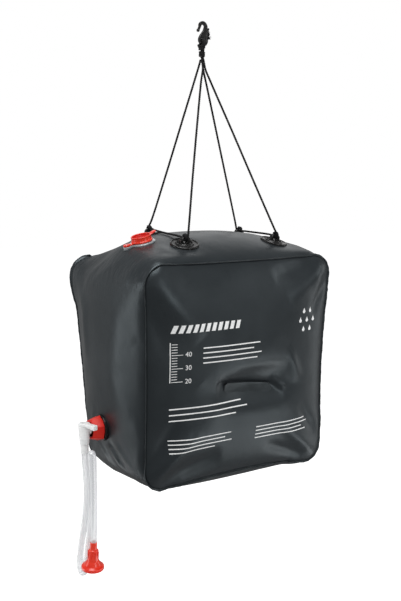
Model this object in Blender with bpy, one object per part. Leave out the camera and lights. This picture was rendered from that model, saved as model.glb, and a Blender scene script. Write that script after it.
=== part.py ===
"""Camp shower bag: a welded vinyl water bag hung by cords from a plastic hook.

Metres, +Z up, front panel towards -Y, tap side towards -X. The origin is the inside of the
hook's crown, where the hook rests on a branch or a rail.
"""

import math

import bmesh
import bpy
from mathutils import Matrix, Vector

# Clearances and cutters
GAP = 0.0003  # between touching pieces
RUNNING_GAP = 0.0004  # round a piece that turns
OVERRUN = 0.002  # how far a cutter passes what it cuts
SEAT_DEPTH = 0.006  # how deep a seated piece starts below the bag's skin before it is cut
FRAME_STEP = 0.001  # step for the slope of the skin

# Bag, measured between the sharp corners of its welded seams
HANG_DROP = 0.5861  # from the bar under the hook's eye down to the middle of the bag
BAG_SHIFT_X = 0.003
BAG_HEIGHT = 0.400
BAG_WIDTH_TOP = 0.402
BAG_WIDTH_BOTTOM = 0.393
FRONT_TOP = 0.128  # from the middle to the front seam, at its top
FRONT_BOTTOM = 0.114
BACK_TOP = 0.154
BACK_BOTTOM = 0.092
CORNER_RADIUS = 0.042
SHEET = 0.0012
TOP_PUFF = 0.042  # how far each side of the gusset swells at mid depth
BOTTOM_PUFF = 0.030
SIDE_PUFF = 0.024
CORNER_PUFF = 0.005
SEAM_PINCH = 0.004  # how far a seam's middle is drawn in
FRONT_PUFF = 0.034
BACK_PUFF = 0.034
PUFF_POWER_SHARE = 2.5
DEPTH_POWER_SHARE = 0.8
PANEL_POWER_SHARE = 0.75

# Weld lip along each seam
LIP_REACH = 0.0032
LIP_ROOT = 0.0010
LIP_THICKNESS = 0.0018
LIP_INSET = 0.0020  # from the seam's line to the edge of each sheet

# Tie web between the panels, and the dimple that it draws in
TIE_X = 0.019
TIE_Z = -0.027
TIE_WIDTH = 0.131
TIE_HEIGHT = 0.030
TIE_SHEET = 0.0012
TIE_FOOT = 0.0025  # least thickness of the welded foot
DIMPLE_DEPTH = 0.013
DIMPLE_HALF_WIDTH = 0.080
DIMPLE_HALF_HEIGHT = 0.030

# Pad eyes, welded on top
EYE_FRONT_Y = -0.070
EYE_FRONT_CENTRE_X = 0.0135
EYE_FRONT_SPREAD = 0.0995  # from the middle of the pair to each eye
EYE_BACK_Y = 0.072
EYE_BACK_CENTRE_X = 0.0298
EYE_BACK_SPREAD = 0.1038
EYE_RADIUS = 0.026
EYE_RIM = 0.0028
EYE_RIM_HEIGHT = 0.0026
EYE_DISH_HEIGHT = 0.0012
EYE_RING_RADIUS = 0.0155
EYE_RING = 0.0022
EYE_RING_HEIGHT = 0.0032
EYE_BOSS_RADIUS = 0.0115
EYE_BOSS_HEIGHT = 0.0030
LUG_WIDTH = 0.021
LUG_THICKNESS = 0.0062
LUG_HEIGHT = 0.0150
LUG_HOLE_RADIUS = 0.0047
LUG_HOLE_HEIGHT = 0.0082
LUG_SHOULDER_SHARE = 0.75  # height of the round top, as a share of half the lug's width

# Cords
CORD_DIAMETER = 0.0032
CORD_STEP = 0.0105
ROUTE_RISE = 0.0326  # from the bar under the hook's eye up to where the routes are measured from

# Hook
HOOK_LENGTH = 0.0348  # from the inside of the crown to the lower end
HOOK_THICKNESS = 0.0050
HOOK_MOUTH_RADIUS = 0.0036
HOOK_ARM = 0.0044
HOOK_CROWN = 0.0062
HOOK_SHANK = 0.0066
HOOK_ROUND = 0.0010
HOOK_TIP_RADIUS = 0.0031
HOOK_EYE_X = -0.0012
HOOK_BAR = 0.0044  # thickness of the bar under the eye
HOOK_EYE_RADIUS = 0.0036

# Sling knot
KNOT_DROP = 0.0079  # from the middle of that bar to the knot
KNOT_LENGTH = 0.0212
KNOT_COLLAR_RADIUS = 0.0068
KNOT_WAIST_RADIUS = 0.0048
KNOT_WRAP_RADIUS = 0.0060
KNOT_END_RADIUS = 0.0045
KNOT_HEIGHT_SHARES = (0.0, 0.10, 0.20, 0.36, 0.78, 1.0)

# Filler, on the top near the tap side
FILLER_X = -0.138
FILLER_Y = -0.010
FILLER_FLANGE_RADIUS = 0.0265
FILLER_FLANGE = 0.0016
NECK_RADIUS = 0.0165
NECK_BORE_RADIUS = 0.0140
NECK_HEIGHT = 0.0070
EAR_LENGTH = 0.0385  # from the neck's axis
EAR_WIDTH = 0.0130
STUD_RADIUS = 0.0022
STUD_HEIGHT = 0.0052

# Filler cap, anchor and seal
CAP_RADIUS = 0.0200
CAP_HEIGHT = 0.0128  # top of the rim above the skin
CAP_SKIRT_INSIDE_RADIUS = 0.0176
CAP_SKIRT_LOW = 0.0024
CAP_DECK_THICKNESS = 0.0018
CAP_RIM = 0.0030
CAP_ROUND = 0.0008
SEAL_THICKNESS = 0.0010
SEAL_BORE_RADIUS = 0.0142
TAB_LENGTH = 0.0115
TAB_WIDTH = 0.0095
TAB_THICKNESS = 0.0022
TAB_RISE = 0.0030
CAP_HINGE_REACH = 0.0245  # from the neck's axis to the hinge line
CAP_HINGE_HEIGHT = 0.0034
CAP_KNUCKLE_RADIUS = 0.0012
CAP_TONGUE_WIDTH = 0.0080
CAP_TONGUE_THICKNESS = 0.0016
ANCHOR_RADIUS = 0.0056
ANCHOR_HOLE_RADIUS = 0.0026
ANCHOR_THICKNESS = 0.0022

# Tap port, nut and gasket; lengths along the tap's axis start at the bag's skin
TAP_Y = 0.0
TAP_Z = -0.105
PORT_RADIUS = 0.0245
PORT_FLANGE = 0.0055
PORT_STUB_RADIUS = 0.0125
PORT_BORE_RADIUS = 0.0080
PORT_LENGTH = 0.0175
NUT_FLANGE_RADIUS = 0.0250
NUT_FLANGE = 0.0030
NUT_BASE_RADIUS = 0.0225
NUT_TIP_RADIUS = 0.0185
NUT_LIP = 0.0026
NUT_ROUND = 0.0008
NUT_SIDES = 6
GASKET = 0.0014

# Tap body
COLLAR_RADIUS = 0.0118
COLLAR = 0.0022
SPOUT_RADIUS = 0.0076
INLET_RADIUS = 0.0035
BARREL_REACH = 0.0112  # from the nut's end to the barrel's axis
BARREL_TOP = 0.0080  # above the tap's axis
BARREL_BOTTOM = 0.0255  # below the tap's axis
BARREL_TOP_RADIUS = 0.0108
BARREL_BOTTOM_RADIUS = 0.0084
BARREL_ROUND = 0.0010
OUTLET_RADIUS = 0.0048
OUTLET_BORE_RADIUS = 0.0030
OUTLET_BOTTOM = 0.0418  # below the tap's axis
PLUG_RADIUS = 0.0058
PLUG_BOTTOM = 0.0120  # below the tap's axis
PLUG_BORE_RADIUS = 0.0031

# Tap lever
LEVER_HUB_RADIUS = 0.0104
LEVER_THICKNESS = 0.0052
LEVER_LENGTH = 0.0300
LEVER_ROOT_WIDTH = 0.0120
LEVER_TIP_WIDTH = 0.0098
LEVER_ROUND = 0.0012
LEVER_TURN = math.radians(-73.0)

# Hose cuff and hose
CUFF_RADIUS = 0.0074
HOSE_DIAMETER = 0.0118

# Shower head, along its own axis from the hose's end
HEAD_TILT = math.radians(6.0)
HEAD_STEM_RADIUS = 0.0062
HEAD_STEM_LENGTH = 0.0150
HEAD_STEP_RADIUS = 0.0086
HEAD_THROAT_LENGTH = 0.0330
HEAD_THROAT_RADIUS = 0.0112
HEAD_LENGTH = 0.0520
HEAD_RIM_RADIUS = 0.0205
HEAD_RIM = 0.0056
HEAD_WALL = 0.0018
HEAD_BORE_RADIUS = 0.0030
ROSE_THICKNESS = 0.0016
ROSE_RECESS = 0.0008
ROSE_HOLE_RADIUS = 0.0011
ROSE_RING_RADII = (0.0055, 0.0110)
ROSE_RING_COUNTS = (6, 10)

# Counts
CORNER_STEPS = 3  # in half a corner
STRAIGHT_STEPS = 8
SIDE_STEPS = 2 * CORNER_STEPS + STRAIGHT_STEPS
RING_SHARES = (0.13, 0.28, 0.46, 0.68, 0.88, 1.0)
DEPTH_SHARES = (-1.0, -0.86, -0.6, -0.3, 0.0, 0.3, 0.6, 0.86, 1.0)
ROUND_STEPS = 24
SMALL_ROUND_STEPS = 12
HOLE_STEPS = 16
BEVEL_STEPS = 2
HOOK_BEVEL_STEPS = 1
LOOP_STEPS = 8
CORD_RESOLUTION = 2
HOSE_RESOLUTION = 3
SMOOTH_ANGLE = math.radians(35.0)

# Hook outline below its crown, as shares of the hook's length: down the shank side, round the
# lower end and up the mouth side
HOOK_BODY_SHARES = (
    (0.284, -0.362), (0.270, -0.575), (0.282, -0.747), (0.241, -0.891), (0.129, -0.977),
    (-0.034, -1.000), (-0.187, -0.960), (-0.264, -0.833), (-0.247, -0.690), (-0.172, -0.546),
    (-0.092, -0.445), (0.034, -0.287),
)
HOOK_TIP_SHARES = (-0.272, -0.302)

# Cord routes, chosen by hand; the hook's crown is their origin
LEFT_SLING_ROUTE = (
    (-0.0028, 0.0019, -0.0620), (-0.0040, 0.0028, -0.0680), (-0.0092, 0.0083, -0.0920),
    (-0.0264, 0.0281, -0.1720), (-0.0487, 0.0538, -0.2760), (-0.0666, 0.0764, -0.3590),
    (-0.0700, 0.0808, -0.3700), (-0.0712, 0.0806, -0.3746), (-0.0719, 0.0742, -0.3755),
    (-0.0722, 0.0683, -0.3744), (-0.0770, 0.0100, -0.3772), (-0.0836, -0.0600, -0.3804),
    (-0.0839, -0.0730, -0.3828), (-0.0837, -0.0786, -0.3838), (-0.0826, -0.0806, -0.3800),
    (-0.0790, -0.0775, -0.3660), (-0.0560, -0.0545, -0.2760), (-0.0290, -0.0282, -0.1760),
    (-0.0080, -0.0085, -0.1000), (-0.0006, -0.0024, -0.0780), (-0.0018, -0.0018, -0.0660),
    (-0.0024, -0.0016, -0.0620),
)
RIGHT_SLING_ROUTE = (
    (0.0008, 0.0018, -0.0620), (0.0020, 0.0022, -0.0700), (0.0034, 0.0026, -0.0790),
    (0.0163, 0.0099, -0.1080), (0.0608, 0.0359, -0.2080), (0.1053, 0.0619, -0.3080),
    (0.1322, 0.0781, -0.3680), (0.1364, 0.0812, -0.3772), (0.1380, 0.0818, -0.3816),
    (0.1385, 0.0796, -0.3845), (0.1388, 0.0736, -0.3847), (0.1386, 0.0672, -0.3838), (0.1296, 0.0100, -0.3832),
    (0.1182, -0.0600, -0.3838), (0.1174, -0.0726, -0.3857), (0.1170, -0.0782, -0.3866),
    (0.1160, -0.0800, -0.3824), (0.1108, -0.0768, -0.3690), (0.0812, -0.0556, -0.2880),
    (0.0444, -0.0308, -0.1880), (0.0140, -0.0098, -0.1060), (0.0046, -0.0030, -0.0790),
    (0.0026, -0.0020, -0.0690), (0.0012, -0.0018, -0.0620),
)
UPPER_TAIL_ROUTE = (
    (0.0034, 0.0026, -0.0402), (0.0037, 0.0028, -0.0382), (0.0060, 0.0038, -0.0361),
    (0.0100, 0.0047, -0.0340), (0.0128, 0.0050, -0.0300), (0.0138, 0.0050, -0.0240),
    (0.0142, 0.0052, -0.0160), (0.0150, 0.0050, -0.0095), (0.0162, 0.0048, -0.0046),
)
LOWER_TAIL_ROUTE = (
    (-0.0054, 0.0036, -0.0402), (-0.0054, 0.0037, -0.0384), (-0.0046, 0.0068, -0.0362),
    (-0.0008, 0.0096, -0.0353), (0.0060, 0.0102, -0.0340), (0.0115, 0.0098, -0.0305),
    (0.0148, 0.0090, -0.0255), (0.0168, 0.0080, -0.0200), (0.0188, 0.0066, -0.0140),
)
HOSE_ROUTE = (
    (-0.2508, 0.0000, -0.7658), (-0.2508, 0.0000, -0.7740), (-0.2508, -0.0046, -0.8060),
    (-0.2507, -0.0064, -0.8300), (-0.2506, -0.0040, -0.8560), (-0.2504, 0.0022, -0.8820),
    (-0.2500, 0.0117, -0.9120), (-0.2494, 0.0250, -0.9505), (-0.2492, 0.0320, -0.9806),
    (-0.2492, 0.0322, -0.9936), (-0.2489, 0.0282, -1.0021), (-0.2484, 0.0212, -1.0036),
    (-0.2479, 0.0154, -0.9966), (-0.2473, 0.0102, -0.9807), (-0.2475, 0.0006, -0.9486),
    (-0.2483, -0.0090, -0.9163), (-0.2490, -0.0156, -0.8820), (-0.2493, -0.0188, -0.8400),
    (-0.2493, -0.0190, -0.8000), (-0.2493, -0.0188, -0.7700), (-0.2493, -0.0200, -0.7620),
    (-0.2493, -0.0252, -0.7575), (-0.2493, -0.0304, -0.7620), (-0.2493, -0.0316, -0.7700),
    (-0.2493, -0.0318, -0.8000), (-0.2493, -0.0318, -0.8400), (-0.2492, -0.0306, -0.8800),
    (-0.2491, -0.0282, -0.9100), (-0.2490, -0.0268, -0.9235),
)
HOSE_STEP = 0.0125
BEND_STEP_SHARE = 0.35

# Materials: colour, roughness, metallic, transmission
MATERIALS = {
    "black_vinyl": ((0.020, 0.022, 0.024, 1.0), 0.42, 0.0, 0.0),
    "black_moulding": ((0.012, 0.012, 0.013, 1.0), 0.30, 0.0, 0.0),
    "black_cord": ((0.010, 0.010, 0.011, 1.0), 0.85, 0.0, 0.0),
    "red_plastic": ((0.75, 0.020, 0.012, 1.0), 0.28, 0.0, 0.0),
    "white_plastic": ((0.85, 0.86, 0.86, 1.0), 0.32, 0.0, 0.0),
    "pale_vinyl": ((0.78, 0.80, 0.80, 1.0), 0.25, 0.0, 0.4),
    "clear_hose": ((0.86, 0.88, 0.89, 1.0), 0.15, 0.0, 0.8),
    "rubber": ((0.020, 0.020, 0.020, 1.0), 0.70, 0.0, 0.0),
}


def clear_scene():
    """Remove what the file holds before the model is built."""
    for thing in list(bpy.data.objects):
        bpy.data.objects.remove(thing, do_unlink=True)


def make_material(name):
    """Return the named Principled material, made on first use."""
    if name in bpy.data.materials:
        return bpy.data.materials[name]
    colour, roughness, metallic, transmission = MATERIALS[name]
    made = bpy.data.materials.new(name)
    made.use_nodes = True
    shader = made.node_tree.nodes["Principled BSDF"]
    shader.inputs["Base Color"].default_value = colour
    shader.inputs["Roughness"].default_value = roughness
    shader.inputs["Metallic"].default_value = metallic
    shader.inputs["Transmission Weight"].default_value = transmission
    made.diffuse_color = colour
    return made


def add_empty(name, parent, frame):
    """Add an empty that carries pieces."""
    empty = bpy.data.objects.new(name, None)
    bpy.context.scene.collection.objects.link(empty)
    empty.parent = parent
    empty.matrix_basis = frame
    return empty


def add_piece(name, data, parent, frame, finish):
    """Add one named sub-part with its own material."""
    piece = bpy.data.objects.new(name, data)
    bpy.context.scene.collection.objects.link(piece)
    piece.parent = parent
    piece.matrix_basis = frame
    data.materials.append(make_material(finish))
    if isinstance(data, bpy.types.Mesh):
        data.shade_smooth()
        data.set_sharp_from_angle(angle=SMOOTH_ANGLE)
    return piece


def add_cutter(name, data, parent, frame):
    """Add a shape that only cuts others."""
    cutter = bpy.data.objects.new(name, data)
    bpy.context.scene.collection.objects.link(cutter)
    cutter.parent = parent
    cutter.matrix_basis = frame
    cutter.hide_render = True
    cutter.display_type = "WIRE"
    return cutter


def combine(piece, other, operation):
    """Cut, join or intersect a piece with another shape."""
    step = piece.modifiers.new(operation.lower() + "_" + other.name, "BOOLEAN")
    step.operation = operation
    step.solver = "EXACT"
    step.object = other


def round_edges(piece, width, segments=BEVEL_STEPS):
    """Round the sharp edges of a piece."""
    step = piece.modifiers.new("rounded", "BEVEL")
    step.width = width
    step.segments = segments
    step.limit_method = "ANGLE"
    step.angle_limit = SMOOTH_ANGLE


def finish_mesh(name, shape):
    """Turn a bmesh with its faces made consistent into a mesh."""
    bmesh.ops.recalc_face_normals(shape, faces=shape.faces[:])
    made = bpy.data.meshes.new(name)
    shape.to_mesh(made)
    shape.free()
    return made


def lathe(name, profile, steps=ROUND_STEPS):
    """Spin a closed (radius, height) profile about Z; radius 0 lies on the axis."""
    shape = bmesh.new()
    rings = []
    for radius, height in profile:
        if radius == 0:
            rings.append([shape.verts.new((0, 0, height))] * steps)
            continue
        ring = []
        for step in range(steps):
            turn = math.tau * step / steps
            ring.append(shape.verts.new((radius * math.cos(turn), radius * math.sin(turn), height)))
        rings.append(ring)
    for ring, after in zip(rings, rings[1:] + rings[:1]):
        for step in range(steps):
            following = (step + 1) % steps
            corners = [ring[step], ring[following], after[following], after[step]]
            distinct = list(dict.fromkeys(corners))
            if len(distinct) > 2:
                shape.faces.new(distinct)
    return finish_mesh(name, shape)


def prism(name, outline, low, high):
    """Extrude a closed (x, y) outline from low to high along Z."""
    shape = bmesh.new()
    lower = [shape.verts.new((x, y, low)) for x, y in outline]
    face = shape.faces.new(lower)
    grown = bmesh.ops.extrude_face_region(shape, geom=[face])
    raised = [item for item in grown["geom"] if isinstance(item, bmesh.types.BMVert)]
    bmesh.ops.translate(shape, verts=raised, vec=(0, 0, high - low))
    return finish_mesh(name, shape)


def box(name, low, high):
    """Make a box between two corners."""
    outline = ((low[0], low[1]), (high[0], low[1]), (high[0], high[1]), (low[0], high[1]))
    return prism(name, outline, low[2], high[2])


def cylinder(name, radius, low, high, steps=ROUND_STEPS):
    """Make a cylinder along Z."""
    return lathe(name, ((0, low), (radius, low), (radius, high), (0, high)), steps)


def smooth_route(points, step):
    """Read points from a smooth curve through a route, closer together where it bends."""
    knots = [Vector(point) for point in points]
    padded = [2 * knots[0] - knots[1]] + knots + [2 * knots[-1] - knots[-2]]
    read = [knots[0]]
    for before, start, end, after in zip(padded, padded[1:], padded[2:], padded[3:]):
        first = (start - before).length ** 0.5
        middle = (end - start).length ** 0.5
        last = (after - end).length ** 0.5
        leave = (start - before) / first - (end - before) / (first + middle) + (end - start) / middle
        arrive = (end - start) / middle - (after - start) / (middle + last) + (after - end) / last
        bend = leave.angle(arrive) / math.radians(30.0)
        count = max(1, math.ceil((end - start).length / step), math.ceil(bend))
        if bend < BEND_STEP_SHARE:
            count = max(1, round((end - start).length / (2 * step)))
        for index in range(1, count + 1):
            share = index / count
            square = share * share
            cube = square * share
            read.append(
                start * (2 * cube - 3 * square + 1) + leave * middle * (cube - 2 * square + share)
                + end * (3 * square - 2 * cube) + arrive * middle * (cube - square)
            )
    return read


def tube(name, points, radius, resolution, parent, finish):
    """Make a round tube with filled ends along points, as a curve."""
    curve = bpy.data.curves.new(name, "CURVE")
    curve.dimensions = "3D"
    spline = curve.splines.new("POLY")
    spline.points.add(len(points) - 1)
    for knot, point in zip(spline.points, points):
        knot.co = (*point, 1.0)
    curve.bevel_depth = radius
    curve.bevel_resolution = resolution
    curve.use_fill_caps = True
    return add_piece(name, curve, parent, Matrix(), finish)


def frame_along(origin, normal, across):
    """Frame with Z along normal and X as near as it can be to across."""
    upward = Vector(normal).normalized()
    sideways = (Vector(across) - upward * upward.dot(Vector(across))).normalized()
    forward = upward.cross(sideways)
    turned = Matrix((sideways, forward, upward)).transposed().to_4x4()
    return Matrix.Translation(origin) @ turned


# The bag's skin


def width_share(z):
    """Width at a height, as a share of the mean width."""
    mean = (BAG_WIDTH_TOP + BAG_WIDTH_BOTTOM) / 2
    return 1 + (BAG_WIDTH_TOP - BAG_WIDTH_BOTTOM) * z / (BAG_HEIGHT * mean)


def seam_y(z, side):
    """Depth of the front (side -1) or back (side 1) seam at a height."""
    share = z / BAG_HEIGHT + 0.5
    if side < 0:
        return -(FRONT_BOTTOM + (FRONT_TOP - FRONT_BOTTOM) * share)
    return BACK_BOTTOM + (BACK_TOP - BACK_BOTTOM) * share


def outline_samples():
    """Points of the rounded outline: (x, z, normal x, normal z), four sides in turn."""
    half_width = (BAG_WIDTH_TOP + BAG_WIDTH_BOTTOM) / 4
    half_height = BAG_HEIGHT / 2
    corner_turn = math.pi / (4 * CORNER_STEPS)
    samples = []
    for side in range(4):
        along, out = (half_width, half_height) if side % 2 == 0 else (half_height, half_width)
        straight = along - CORNER_RADIUS
        for step in range(SIDE_STEPS):
            turn = corner_turn * max(CORNER_STEPS - step, 0)
            turn -= corner_turn * max(step - CORNER_STEPS - STRAIGHT_STEPS, 0)
            share = min(max((step - CORNER_STEPS) / STRAIGHT_STEPS, 0), 1)
            place = straight * (1 - 2 * share) + CORNER_RADIUS * math.sin(turn)
            reach = out - CORNER_RADIUS + CORNER_RADIUS * math.cos(turn)
            lean = math.sin(turn)
            face = math.cos(turn)
            if side == 0:
                samples.append((place, reach, lean, face))
            elif side == 1:
                samples.append((-reach, place, -face, lean))
            elif side == 2:
                samples.append((-place, -reach, -lean, -face))
            else:
                samples.append((reach, -place, face, -lean))
    return samples


def outline_point(sample, puff):
    """Point (x, z) of the outline; puff is 0 on a seam and 1 at mid depth."""
    x, z, normal_x, normal_z = sample
    across = abs(4 * x / (BAG_WIDTH_TOP + BAG_WIDTH_BOTTOM))
    up = abs(2 * z / BAG_HEIGHT)
    high_puff = TOP_PUFF if normal_z > 0 else BOTTOM_PUFF
    push_x = CORNER_PUFF + (SIDE_PUFF - CORNER_PUFF) * max(0, 1 - up ** PUFF_POWER_SHARE)
    push_z = CORNER_PUFF + (high_puff - CORNER_PUFF) * max(0, 1 - across ** PUFF_POWER_SHARE)
    pinch_x = SEAM_PINCH * max(0, 1 - up * up) * (1 - puff)
    pinch_z = SEAM_PINCH * max(0, 1 - across * across) * (1 - puff)
    moved_x = x * width_share(z) + normal_x * (push_x * puff - pinch_x)
    moved_z = z + normal_z * (push_z * puff - pinch_z)
    return moved_x, moved_z


def gusset_point(sample, depth_share):
    """Point of the gusset's outer face; depth_share runs from -1 (front) to 1 (back)."""
    puff = max(0, 1 - depth_share * depth_share) ** DEPTH_POWER_SHARE
    x, z = outline_point(sample, puff)
    front = seam_y(sample[1], -1)
    back = seam_y(sample[1], 1)
    return Vector((x, (front + back) / 2 + (back - front) / 2 * depth_share, z))


def panel_point(sample, ring_share, side):
    """Point of a panel's outer face; ring_share is 0 in the middle and 1 on the seam."""
    edge_x, edge_z = outline_point(sample, 0)
    x = edge_x * ring_share
    z = edge_z * ring_share
    puff = FRONT_PUFF if side < 0 else BACK_PUFF
    swell = puff * max(0, 1 - ring_share * ring_share) ** PANEL_POWER_SHARE
    from_x = (x - TIE_X) / DIMPLE_HALF_WIDTH
    from_z = (z - TIE_Z) / DIMPLE_HALF_HEIGHT
    dimple = DIMPLE_DEPTH * math.exp(-from_x ** 4 - from_z ** 2)
    return Vector((x, seam_y(sample[1] * ring_share, side) + side * (swell - dimple), z))


def top_point(x, y):
    """Point on the swollen top above a place."""
    front = seam_y(BAG_HEIGHT / 2, -1)
    back = seam_y(BAG_HEIGHT / 2, 1)
    share = (2 * y - front - back) / (back - front)
    point = gusset_point((x / width_share(BAG_HEIGHT / 2), BAG_HEIGHT / 2, 0, 1), share)
    return Vector((x, y, point.z))


def side_point(y, z):
    """Point on the swollen tap side at a place."""
    front = seam_y(z, -1)
    back = seam_y(z, 1)
    share = (2 * y - front - back) / (back - front)
    half_width = (BAG_WIDTH_TOP + BAG_WIDTH_BOTTOM) / 4
    point = gusset_point((-half_width, z, -1, 0), share)
    return Vector((point.x, y, z))


def top_frame(x, y):
    """Frame on the top: Z out of the skin, X towards +X."""
    along = top_point(x + FRAME_STEP, y) - top_point(x - FRAME_STEP, y)
    deep = top_point(x, y + FRAME_STEP) - top_point(x, y - FRAME_STEP)
    return frame_along(top_point(x, y), along.cross(deep), along)


def grow(shape, distance):
    """Move a skin along its own normals."""
    shape.normal_update()
    moves = [(vert, vert.normal * distance) for vert in shape.verts]
    for vert, move in moves:
        vert.co += move


def add_quad(shape, corners):
    """Add a four-sided patch as two triangles, always split the same way."""
    shape.faces.new(corners[:3])
    shape.faces.new((corners[0], corners[2], corners[3]))


def panel_grid(shape, samples, side, edge_points):
    """Add a panel's rings to a bmesh; its last ring lies on edge_points."""
    rings = []
    for share in RING_SHARES[:-1]:
        rings.append([shape.verts.new(panel_point(sample, share, side)) for sample in samples])
    rings.append([shape.verts.new(point) for point in edge_points])
    centre = shape.verts.new(panel_point(samples[0], 0, side))
    count = len(samples)
    for index in range(0, count, 2):
        add_quad(shape, (centre, rings[0][index], rings[0][index + 1], rings[0][(index + 2) % count]))
    for ring, outer in zip(rings, rings[1:]):
        for index in range(count):
            after = (index + 1) % count
            add_quad(shape, (ring[index], ring[after], outer[after], outer[index]))


def gusset_rows(shape, rows):
    """Bridge rows of points round the bag."""
    made = [[shape.verts.new(point) for point in row] for row in rows]
    count = len(made[0])
    for row, deeper in zip(made, made[1:]):
        for index in range(count):
            after = (index + 1) % count
            add_quad(shape, (row[index], row[after], deeper[after], deeper[index]))


def toward(start, end, distance):
    """Point a distance from start on the way to end."""
    return start + (end - start).normalized() * distance


def whole_skin(name, offset):
    """Closed skin of the whole bag, moved out by an offset."""
    samples = outline_samples()
    shape = bmesh.new()
    rows = [[gusset_point(sample, share) for sample in samples] for share in DEPTH_SHARES]
    gusset_rows(shape, rows)
    panel_grid(shape, samples, -1, rows[0])
    panel_grid(shape, samples, 1, rows[-1])
    bmesh.ops.remove_doubles(shape, verts=shape.verts[:], dist=GAP / 10)
    bmesh.ops.recalc_face_normals(shape, faces=shape.faces[:])
    grow(shape, offset)
    return finish_mesh(name, shape)


def thicken(piece):
    """Give a sheet its thickness, inwards."""
    step = piece.modifiers.new("sheet", "SOLIDIFY")
    step.thickness = SHEET
    step.offset = -1


def build_panel(name, side, bag):
    """One welded panel with its edge held back from the seam's lip."""
    samples = outline_samples()
    seam = [panel_point(sample, 1, side) for sample in samples]
    inner_share = RING_SHARES[-2]
    inner = [panel_point(sample, inner_share, side) for sample in samples]
    edge = [toward(start, end, LIP_INSET) for start, end in zip(seam, inner)]
    shape = bmesh.new()
    panel_grid(shape, samples, side, edge)
    panel = add_piece(name, finish_mesh(name, shape), bag, Matrix(), "black_vinyl")
    orient_outwards(panel.data, Vector((0, side, 0)))
    thicken(panel)
    return panel


def orient_outwards(data, outward):
    """Turn an open sheet's faces towards a direction."""
    total = sum((face.normal * face.area for face in data.polygons), Vector())
    if total.dot(outward) < 0:
        data.flip_normals()


def build_gusset(bag):
    """The band that goes round the sides, with its filler and tap holes."""
    samples = outline_samples()
    rows = [[gusset_point(sample, share) for sample in samples] for share in DEPTH_SHARES]
    rows[0] = [toward(start, end, LIP_INSET) for start, end in zip(rows[0], rows[1])]
    rows[-1] = [toward(start, end, LIP_INSET) for start, end in zip(rows[-1], rows[-2])]
    shape = bmesh.new()
    gusset_rows(shape, rows)
    band = add_piece("gusset_band", finish_mesh("gusset_band", shape), bag, Matrix(), "black_vinyl")
    right_face = max(band.data.polygons, key=lambda face: face.center.x)
    if right_face.normal.x < 0:
        band.data.flip_normals()
    thicken(band)
    filler_hole = cylinder("filler_hole", NECK_BORE_RADIUS, -SEAT_DEPTH, SEAT_DEPTH)
    combine(band, add_cutter("filler_hole", filler_hole, bag, top_frame(FILLER_X, FILLER_Y)), "DIFFERENCE")
    tap_hole = cylinder("tap_hole", PORT_BORE_RADIUS, -SEAT_DEPTH, SEAT_DEPTH)
    combine(band, add_cutter("tap_hole", tap_hole, bag, tap_frame()), "DIFFERENCE")
    return band


def build_lip(name, side, bag):
    """The narrow welded edge that stands out along one seam."""
    samples = outline_samples()
    inner_share = RING_SHARES[-2]
    depth = DEPTH_SHARES[1] * -side
    shape = bmesh.new()
    rings = []
    for sample in samples:
        seam = panel_point(sample, 1, side)
        on_panel = (panel_point(sample, inner_share, side) - seam).normalized()
        on_gusset = (gusset_point(sample, depth) - seam).normalized()
        outward = -(on_panel + on_gusset).normalized()
        across = (on_panel - on_gusset).normalized() * (LIP_THICKNESS / 2)
        root = seam - outward * LIP_ROOT
        tip = seam + outward * LIP_REACH
        rings.append([shape.verts.new(point) for point in (root + across, tip + across, tip - across, root - across)])
    for ring, after in zip(rings, rings[1:] + rings[:1]):
        for index in range(4):
            following = (index + 1) % 4
            shape.faces.new((ring[index], ring[following], after[following], after[index]))
    return add_piece(name, finish_mesh(name, shape), bag, Matrix(), "black_vinyl")


def foot_y(skin, side):
    """Depth of the flat inner face of the tie's foot on one panel."""
    reach = [
        side * vert.co.y for vert in skin.data.vertices
        if side * vert.co.y > 0 and abs(vert.co.x - TIE_X) < TIE_WIDTH / 2
        and abs(vert.co.z - TIE_Z) < DIMPLE_HALF_HEIGHT
    ]
    return side * (min(reach) - TIE_FOOT)


def build_tie(bag):
    """The web inside the bag that draws the panels together, with a welded foot at each end."""
    inner = add_cutter("inner_skin", whole_skin("inner_skin", -SHEET - GAP), bag, Matrix())
    front = foot_y(inner, -1)
    back = foot_y(inner, 1)
    half_foot = TIE_HEIGHT / 2
    half_web = TIE_SHEET / 2
    outline = (
        (front - FRONT_PUFF, -half_foot), (front, -half_foot), (front, -half_web), (back, -half_web),
        (back, -half_foot), (back + BACK_PUFF, -half_foot), (back + BACK_PUFF, half_foot), (back, half_foot),
        (back, half_web), (front, half_web), (front, half_foot), (front - FRONT_PUFF, half_foot),
    )
    data = prism("tie_web", outline, -TIE_WIDTH / 2, TIE_WIDTH / 2)
    lengthwise = Matrix(((0, 0, 1), (1, 0, 0), (0, 1, 0))).to_4x4()
    tie = add_piece("tie_web", data, bag, Matrix.Translation((TIE_X, 0, TIE_Z)) @ lengthwise, "black_vinyl")
    combine(tie, inner, "INTERSECT")


# Pad eyes


def eye_profile():
    """Turned profile of a pad eye's base."""
    rim_inside = EYE_RADIUS - EYE_RIM
    ring_outside = EYE_RING_RADIUS + EYE_RING / 2
    ring_inside = EYE_RING_RADIUS - EYE_RING / 2
    return (
        (0, -SEAT_DEPTH), (EYE_RADIUS, -SEAT_DEPTH), (EYE_RADIUS, EYE_DISH_HEIGHT),
        (EYE_RADIUS - EYE_RIM / 3, EYE_RIM_HEIGHT), (rim_inside, EYE_RIM_HEIGHT),
        (rim_inside - EYE_RIM / 2, EYE_DISH_HEIGHT), (ring_outside, EYE_DISH_HEIGHT),
        (EYE_RING_RADIUS, EYE_RING_HEIGHT), (ring_inside, EYE_DISH_HEIGHT),
        (EYE_BOSS_RADIUS, EYE_DISH_HEIGHT), (EYE_BOSS_RADIUS - EYE_RING, EYE_BOSS_HEIGHT), (0, EYE_BOSS_HEIGHT),
    )


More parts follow.
